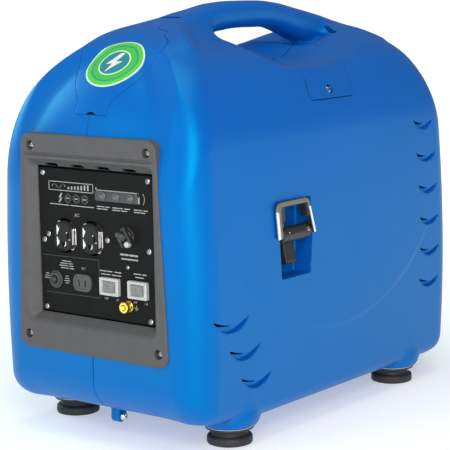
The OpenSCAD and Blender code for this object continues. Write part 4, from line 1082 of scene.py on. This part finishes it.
# lamp bracket and captions
bag.stroke([(3.0, 272.2), (3.0, 269.8), (60.5, 269.8)], 1.3, PLATE_Y)
for q in (arc_pts(58.8, 266.9, 3.0, 90, 0, 5) + [(61.8, 260.4)],):
    bag.stroke(q, 1.9, PLATE_Y - 0.85)
bag.stroke(arc_pts(60.0, 264.6, 8.6, 38, -38, 6), 0.7, PLATE_Y)
for x0, x1 in ((3.8, 22.0), (25.4, 50.0), (54.5, 73.4)):
    dashes(bag, x0, x1, 253.0, 1.0, 3)
    dashes(bag, x0, x1 - 1.0, 250.6, 1.0, 2)
# breaker caption and rule
dashes(bag, 34.6, 59.4, 205.6, 1.9, 4)
bag.stroke([(36.0, 201.2), (57.4, 201.2)], 1.5, PLATE_Y)
# direct-current field
letters(bag, "DC", -20.0, 184.0, 0.8, 0.6)
for k, (x0, x1) in enumerate(((-48.0, -35.0), (-50.5, -33.0), (-52.0, -31.5), (-50.0, -31.0))):
    dashes(bag, x0, x1, 191.0 - 2.5 * k, 0.95, 3)
for x0, x1, zz in ((-72.5, -68.5, 175.5), (-73.5, -68.5, 173.0), (-74.0, -68.0, 170.6), (-44.5, -39.5, 172.4), (-45.5, -38.5, 170.0), (-44.0, -39.8, 167.6), (-43.4, -40.4, 175.0)):
    bag.stroke([(x0, zz), (x1, zz)], 0.8, PLATE_Y)
dashes(bag, 5.4, 36.0, 186.0, 1.1, 3)
dashes(bag, 7.0, 36.6, 182.6, 1.1, 4)
dashes(bag, 52.0, 69.4, 187.0, 1.1, 3)
dashes(bag, 54.0, 67.0, 183.6, 1.1, 2)
letters(bag, "OFF", 10.6, 156.2, 0.62, 0.5)
letters(bag, "ON", 26.4, 156.2, 0.62, 0.5)
letters(bag, "OFF", 50.0, 156.2, 0.62, 0.5)
letters(bag, "ON", 65.6, 156.2, 0.62, 0.5)
bag.stroke([(51.5, 151.4), (56.5, 151.4)], 0.7, PLATE_Y)
bag.stroke([(52.6, 149.6), (55.4, 149.6)], 0.7, PLATE_Y)
bag.stroke([(54.0, 151.4), (54.0, 154.0)], 0.7, PLATE_Y)
bag.piece("panel_marks", M["ink"])
bag = Bag()
bag.stroke([(-76.4, 195.4), (4.0, 196.4), (4.0, 156.4), (-72.0, 155.6)], 0.6, PLATE_Y)
bag.piece("panel_rules", M["dimink"])

# ------------------------------------------------------------------ lid badge

BADGE = near((-40, -262, 340), (44, -150, 440), lambda x, y, z: (np.sqrt(((x - 2.0) / 35.5) ** 2 + (((y + z) * 0.70710678 - 137.0) / 32.5) ** 2) - 1.0) * 31.0, 6)


def badge(x, y, z):
    b = form(x, y, z)
    return rmax(common(b - 0.55, -(b + 1.2)), BADGE(x, y, z), 0.3)


def badge_material():
    m = material("badge_print", (0.06, 0.5, 0.05), 0.3, var=0.05, scale=60, coat=0.4, bump=0.02)
    nt = m.node_tree
    bs = nt.nodes["Principled BSDF"]
    tc = nt.nodes.new("ShaderNodeTexCoord")
    sp = nt.nodes.new("ShaderNodeSeparateXYZ")
    nt.links.new(tc.outputs["Object"], sp.inputs[0])

    def math_node(op, a, b):
        n = nt.nodes.new("ShaderNodeMath")
        n.operation = op
        for k, q in enumerate((a, b)):
            if isinstance(q, (int, float)):
                n.inputs[k].default_value = q
            else:
                nt.links.new(q, n.inputs[k])
        return n.outputs[0]
    u = math_node("MULTIPLY", math_node("SUBTRACT", sp.outputs[0], 0.002), 1 / 0.0355)
    v = math_node("ADD", sp.outputs[1], sp.outputs[2])
    v = math_node("MULTIPLY", math_node("SUBTRACT", math_node("MULTIPLY", v, 0.70710678), 0.137), 1 / 0.0325)
    r = math_node("POWER", math_node("ADD", math_node("MULTIPLY", u, u), math_node("MULTIPLY", v, v)), 0.5)
    cr = nt.nodes.new("ShaderNodeValToRGB")
    cr.color_ramp.interpolation = "CONSTANT"
    e = cr.color_ramp.elements
    e[0].position, e[0].color = 0.0, (0.012, 0.22, 0.26, 1)
    e[1].position, e[1].color = 0.50, (0.62, 0.78, 0.60, 1)
    for p, c in ((0.545, (0.05, 0.46, 0.06)), (0.74, (0.02, 0.30, 0.16)), (0.80, (0.075, 0.54, 0.05)), (0.945, (0.60, 0.80, 0.55))):
        k = e.new(p)
        k.color = (*c, 1)
    nt.links.new(r, cr.inputs["Fac"])
    nt.links.new(cr.outputs["Color"], bs.inputs["Base Color"])
    return m


sculpt("lid_badge", badge, (-36, -250, 345), (40, -160, 430), 0.9, badge_material(), "fuel_lid")
BOLT = [(3.5, 151), (-8.0, 134.5), (0.2, 135.6), (-3.0, 123), (11.5, 139.5), (3.0, 138.6), (8.4, 151)]
bolt_zone = near((-12, -250, 345), (16, -160, 430), lambda x, y, z: d_poly(x, (y + z) * 0.70710678, BOLT), 4)


def bolt(x, y, z):
    b = form(x, y, z)
    return common(b - 0.75, -(b + 0.2), bolt_zone(x, y, z))


sculpt("badge_bolt", bolt, (-10, -240, 360), (14, -170, 425), 0.5, M["paper"], "fuel_lid")

# ------------------------------------------------------------------ outside fasteners and latch

screws("cover_screw_head", [(tuple(SCREW_P - SCREW_N * 2.2), tuple(SCREW_N), 4.4, 2.2, 0.6)], M["screw"], replaces="service_cover_screw")
screws("seam_screw_head", [((8.6, -212, 24.0), (1, 0, 0), 4.6, 3.0, 0.4), ((-4.7, -212, 24.0), (-1, 0, 0), 4.4, 2.2, 0.4)], M["chrome"], replaces="seam_screw")

bag = Bag()
bag.lathe([(0.01, 0), (2.8, 0), (2.8, 3.6), (0.01, 3.6)], (5.4, -212, 24.0), (1, 0, 0), 24)
bag.piece("seam_screw_shank", M["dsteel"])

LP, LB = (121.0, 226.0), (133.5, 217.0)
BARREL = (136.0, 214.2)
PADDLE = [(133.0, 213), (131.2, 206.5), (136.0, 186.0), (136.4, 183.4), (135.2, 181.8), (124.5, 179.8), (122.6, 182), (122.6, 205), (125, 213)]
LINK = [(117.2, 223.4), (121.5, 231.0), (125.0, 230.0), (138.0, 220.0), (132.0, 208.5)]


def lever(x, y, z):
    yy = y - LATCH_Y
    rb = np.hypot(x - BARREL[0], z - BARREL[1])
    d = rmax(rb - 8.4, np.abs(yy) - 24.6, 2.2)
    d = np.maximum(d, -(np.hypot(rb - 8.4, np.abs(yy) - 15.6) - 0.6))
    hub = np.minimum(np.hypot(x - LP[0], z - LP[1]) - 5.0, d_poly(x, z, LINK))
    d = np.minimum(d, rmax(hub, np.abs(yy + 15.5) - 5.5, 0.6))
    d = smin(d, rmax(d_poly(x, z, PADDLE), np.abs(yy + 1.2) - 9.2, 1.2), 1.5)
    d = np.maximum(d, 2.05 - np.hypot(x - LP[0], z - LP[1]))
    return np.maximum(d, 2.1 - np.hypot(x - LB[0], z - LB[1]))


sculpt("latch_lever_paddle", lever, (113, -107, 177), (146, -54, 233), 0.8, M["black"], "latch_lever", "latch_lever")


def latch_bracket(x, y, z):
    """Bracket of the lever at the bottom of the well, with one ear for the pivot."""
    d = d_box(x, y, z, (112.2, -107.0, 216.0), (114.4, -84.0, 236.0), 0.4)
    ear = np.minimum(np.hypot(x - LP[0], z - LP[1]) - 4.4, d_box(x, y, z, (113.0, -120.0, 221.6), (121.0, -80.0, 230.4)))
    d = np.minimum(d, np.maximum(ear, np.abs(y + 105.0) - 1.5))
    return np.maximum(d, 2.02 - np.hypot(x - LP[0], z - LP[1]))


sculpt("latch_bracket", latch_bracket, (112, -107.5, 215), (127, -83, 237), 0.8, M["black"], replaces="latch_base")
bag = Bag()
bag.lathe([(0.01, 0), (2.0, 0), (2.0, 18.0), (0.01, 18.0)], (LP[0], -106.6, LP[1]), (0, 1, 0), 28)
bag.piece("latch_pivot", M["steel"], replaces="latch_pivot_pin")

# outline of the bail and of its window in (y, z), before rounding
BAIL_OUT = [(-109.9, 243.4), (-107.9, 205.0), (-56.1, 205.0), (-66.2, 243.4)]
BAIL_IN = [(-105.3, 241.2), (-103.7, 200.0), (-55.3, 200.0), (-66.2, 241.2)]
BAIL_LINE = [(-100.4, 242.0), (-99.2, 200.0), (-57.0, 200.0), (-68.0, 242.0)]


def bail_front(z):
    """Outer face of the bail, leaning in towards its crown."""
    return 144.0 + 0.055 * (250.0 - z)


def bail(x, y, z):
    yy = y - LATCH_Y
    u = np.maximum(d_poly(y, z, BAIL_OUT) - 8.0, 5.0 - d_poly(y, z, BAIL_IN))
    e = bail_front(z) - x
    d = rmax(np.maximum(u, 212.6 - z), np.maximum(-e, e - 3.4), 0.7)
    arm = rmax(np.maximum(np.hypot(x - LB[0] - 3.0, z - LB[1]) - 7.0, np.abs(np.abs(yy) - 27.4) - 1.8), x - 144.0, 0.6)
    rod = np.maximum(np.hypot(x - LB[0], z - LB[1]) - 2.0, np.abs(yy) - 26.5)
    return union(d, arm, rod)


sculpt("latch_bail_strap", bail, (127, -120, 207), (147, -46, 254), 0.7, M["satin"], "latch_bail", "latch_bail")


def bail_painted_highlight(x, y, z):
    """Pale bead along the outer edge of both legs: a painted highlight standing for the shine of the rounded edge."""
    u = d_poly(y, z, BAIL_OUT) - 8.0
    e = bail_front(z) - x
    return rmax(common(np.abs(u + 1.5) - 1.6, 212.4 - z, z - 241.5), np.maximum(-e - 0.5, e - 2.4), 1.1)


# the bead is a painted highlight, lighter than the satin strap beside it
sculpt("latch_bail_painted_highlight", bail_painted_highlight, (140, -120, 211), (148, -46, 243), 0.5, M["edge"], "latch_bail")


def bail_liner(x, y, z):
    e = bail_front(z) - x
    ring = np.maximum(d_poly(y, z, BAIL_IN) - 4.8, 3.0 - d_poly(y, z, BAIL_LINE))
    low = np.where(np.abs(y - LATCH_Y) > 24.9, 224.2, 231.0)
    return rmax(common(ring, low - z, z - 248.0), np.maximum(0.9 - e, e - 9.6), 0.5)


sculpt("latch_bail_liner", bail_liner, (131, -112, 223), (147, -52, 249), 0.7, M["black"], "latch_bail")
bag = Bag()
bag.lathe([(0.01, -0.6), (2.5, -0.6), (2.4, 0.5), (1.8, 1.1), (0.01, 1.4)], (143.8, LATCH_Y + 19.4, 216.8), (1, 0, 0.3), 28)
bag.lathe([(0.01, -0.6), (1.1, -0.6), (1.0, 0.4), (0.7, 0.8), (0.01, 1.0)], (143.7, LATCH_Y - 15.0, 217.4), (1, 0, 0.3), 24)
bag.piece("latch_lever_pins", M["screw"], "latch_lever")

# feet
bag = Bag()
wash = Bag()
for fx, fy in FEET:
    bag.lathe([(0.01, 0), (22.4, 0), (23.6, 0.5), (24.2, 1.8), (24.3, 4.4), (24.2, 7.2), (23.4, 8.6), (21.6, 9.4), (19.6, 10.0), (18.9, 11.4), (18.8, 14.0),
               (19.8, 15.4), (23.8, 16.0), (25.6, 16.6), (26.0, 17.6), (25.6, 18.7), (24.0, 19.0), (0.01, 19.0)], (fx, fy, 0), (0, 0, 1), 72)
    wash.lathe([(0.01, 18.9), (26.4, 18.9), (26.8, 19.2), (26.8, 19.7), (26.4, 20.0), (0.01, 20.0)], (fx, fy, 0), (0, 0, 1), 72)
bag.piece("foot_pads", M["rubber"], replaces="rubber_feet")
wash.piece("foot_washers", M["washer"])

# exhaust guard at the back


def guard(x, y, z):
    a, b = x, z - 235.0
    r = np.hypot(a, b)
    d = rmax(r - 60.0, np.abs(y - 249.3) - 1.4, 0.7)
    d = np.minimum(d, rmax(np.abs(r - 55.5) - 4.2, np.abs(y - 249.8) - 1.6, 1.2))
    d = np.minimum(d, rmax(np.abs(r - 19.5) - 2.4, np.abs(y - 250.0) - 1.8, 1.0))
    d = np.maximum(d, -(r - 17.0))
    th = np.arctan2(b, a)
    for rr, n, hr in ((26.5, 14, 3.1), (34.5, 18, 3.3), (43.0, 22, 3.5)):
        k = np.round(th * n / (2 * math.pi)) * (2 * math.pi / n)
        d = np.maximum(d, hr - np.hypot(a - rr * np.cos(k), b - rr * np.sin(k)))
    return d


sculpt("exhaust_guard_plate", guard, (-61, 246, 174), (61, 253, 296), 1.0, M["dsteel"], replaces="exhaust_guard")
screws("guard_screw_heads", [((53 * math.cos(a), 251.0, 235 + 53 * math.sin(a)), (0, 1, 0), 3.8, 2.0, a) for a in
                             (math.pi / 4, 3 * math.pi / 4, 5 * math.pi / 4, 7 * math.pi / 4)], M["steel"], replaces="guard_screws")

# starter grip with its rope, and the choke knob, on the left side


def grip(x, y, z):
    yy, zz = y + 173.0, z - 210.0
    t = np.clip(yy / 20.5, -1, 1)
    bar = rmax(d_rect(yy, zz, 0, 0, 57.0, 16.4 + 0.0, 8.0), np.abs(x + 137.8) - 6.6 + 0.9 * t * t, 3.4)
    for s in (-1, 1):
        bar = np.maximum(bar, -(np.hypot((yy - s * 15.5) * 0.75, x + 127.6) - 7.6))
    neck = rmax(np.hypot(yy, zz) - 5.0, np.abs(x + 126.5) - 7.2, 1.0)
    d = smin(bar, neck, 4.0)
    for k in (-2, -1, 1, 2):
        d = np.maximum(d, -(np.hypot(yy - 8.5 * k, x + 145.2) - 1.3))
    return d


sculpt("starter_grip_bar", grip, (-146, -203, 200), (-118, -143, 220), 0.8, M["black"], "starter_grip", "starter_grip")
bag = Bag()
n, L, V, F = 18, 240, [], []
for k in range(L + 1):
    xx = -121.0 + 241.0 * k / L
    for i in range(n):
        a = 2 * math.pi * i / n
        r = 1.75 + 0.28 * abs(math.cos(1.5 * (a - 0.9 * xx)))
        V.append((xx, -173.0 + r * math.cos(a), 210.0 + r * math.sin(a)))
for k in range(L):
    for i in range(n):
        j = (i + 1) % n
        F.append((k * n + i, k * n + j, (k + 1) * n + j, (k + 1) * n + i))
F.append(tuple(reversed(range(n))))
F.append(tuple(range(L * n, (L + 1) * n)))
bag.add(V, F)
bag.piece("starter_rope_lay", M["rope"], "starter_grip", "starter_rope", 60)


def choke(x, y, z):
    yy, zz = y + 100.0, z - 210.0
    r = np.hypot(yy, zz)
    th = np.arctan2(zz, yy)
    d = rmax(r - 10.0 + 0.55 * (0.5 + 0.5 * np.cos(12 * th)) ** 3, np.abs(x + 136.6) - 6.9, 1.6)
    d = np.minimum(d, rmax(r - 3.0, np.abs(x + 112) - 17.0, 0.3))
    mark = np.maximum(np.maximum(np.abs(zz) - 0.7, np.abs(yy) - 6.0), x + 142.0)
    return np.maximum(d, -mark)


sculpt("choke_knob_cap", choke, (-145, -111, 199), (-94, -89, 221), 0.7, M["black"], "choke_knob", "choke_knob")


def cap(x, y, z):
    yy = y + 172.0
    r = np.hypot(x, yy)
    th = np.arctan2(yy, x)
    d = rmax(r - 27.4 + 0.9 * (0.5 + 0.5 * np.cos(18 * th)) ** 2, np.abs(z - 369.5) - 10.4, 2.2)
    wing = rmax(np.maximum(np.abs(x) - 4.2, r - 23.0), np.abs(z - 379.0) - 4.0, 1.6)
    well = np.maximum(np.abs(r - 14.0) - 8.6, 377.2 - z)
    d = np.minimum(np.maximum(d, -well), wing)
    return np.maximum(d, -np.maximum(r - 20.1, z - 372.6))


sculpt("fuel_cap_top", cap, (-29, -202, 357), (29, -142, 385), 0.9, M["black"], "fuel_cap", "fuel_cap")

# ------------------------------------------------------------------ floor, light and camera


def stage_plane(name, pts, mat):
    me = bpy.data.meshes.new(name)
    me.from_pydata(pts, [], [(0, 1, 2, 3)])
    o = bpy.data.objects.new(name, me)
    SCENE.collection.objects.link(o)
    me.materials.append(mat)
    return o


def floor_material():
    """Pale sweep: matt close to the object, glowing to white with distance."""
    m = material("pale_floor", (0.8, 0.8, 0.8), 0.8, var=0.01, scale=3, rvar=0.03, spec=0.1, emis=(1, 1, 1, 0.5))
    nt = m.node_tree
    tc = nt.nodes.new("ShaderNodeTexCoord")
    ln = nt.nodes.new("ShaderNodeVectorMath")
    ln.operation = "LENGTH"
    nt.links.new(tc.outputs["Object"], ln.inputs[0])
    mr = nt.nodes.new("ShaderNodeMapRange")
    mr.inputs["From Min"].default_value = 0.35
    mr.inputs["From Max"].default_value = 1.6
    mr.inputs["To Min"].default_value = 0.38
    mr.inputs["To Max"].default_value = 0.85
    nt.links.new(ln.outputs["Value"], mr.inputs["Value"])
    nt.links.new(mr.outputs["Result"], nt.nodes["Principled BSDF"].inputs["Emission Strength"])
    return m


M["floor"] = floor_material()
stage_plane("floor", [(-30, -30, 0), (30, -30, 0), (30, 30, 0), (-30, 30, 0)], M["floor"])


def area(name, loc, target, size, power, color=(1, 1, 1), size_y=None):
    l = bpy.data.lights.new(name, "AREA")
    l.shape = "RECTANGLE"
    l.size = size
    l.size_y = size_y or size
    l.energy = power
    l.color = color
    o = bpy.data.objects.new(name, l)
    SCENE.collection.objects.link(o)
    o.location = loc
    d = Vector(target) - Vector(loc)
    o.rotation_euler = d.to_track_quat("-Z", "Y").to_euler()
    return o


area("key", (1.52, -1.68, 1.0), (0, 0, 0.22), 0.9, 36, size_y=1.5)
area("rim", (-2.6, -0.1, 1.2), (0, 0, 0.25), 1.2, 24, (0.25, 0.85, 1.0))
area("front", (-1.0, -2.9, 1.5), (0, 0, 0.22), 1.6, 12)
area("top", (0.2, -0.4, 2.7), (0, 0, 0.3), 2.0, 26)
w = bpy.data.worlds.new("studio")
SCENE.world = w
w.use_nodes = True
bg = w.node_tree.nodes["Background"]
bg.inputs[0].default_value = (1, 1, 1, 1)
bg.inputs[1].default_value = 0.24
SCENE.view_settings.view_transform = "Standard"

AZ, EL, ROLL = math.radians(38.14), math.radians(9.04), math.radians(-1.02)
back = Vector((math.sin(AZ) * math.cos(EL), -math.cos(AZ) * math.cos(EL), math.sin(EL)))
right = Vector((math.cos(AZ), math.sin(AZ), 0))
up = back.cross(right)
R = right * math.cos(ROLL) + up * math.sin(ROLL)
U = up * math.cos(ROLL) - right * math.sin(ROLL)
cam = bpy.data.objects.new("camera", bpy.data.cameras.new("camera"))
SCENE.collection.objects.link(cam)
pos = Vector((-4.04, -16.8, 202.34)) * 0.001 + back * 1.87928
cam.matrix_world = Matrix(((R.x, U.x, back.x, pos.x), (R.y, U.y, back.y, pos.y), (R.z, U.z, back.z, pos.z), (0, 0, 0, 1)))
cam.data.sensor_width = 36.0
cam.data.lens = 36.0 * 1643.48 / 450.0
cam.data.clip_end = 100.0
SCENE.camera = cam
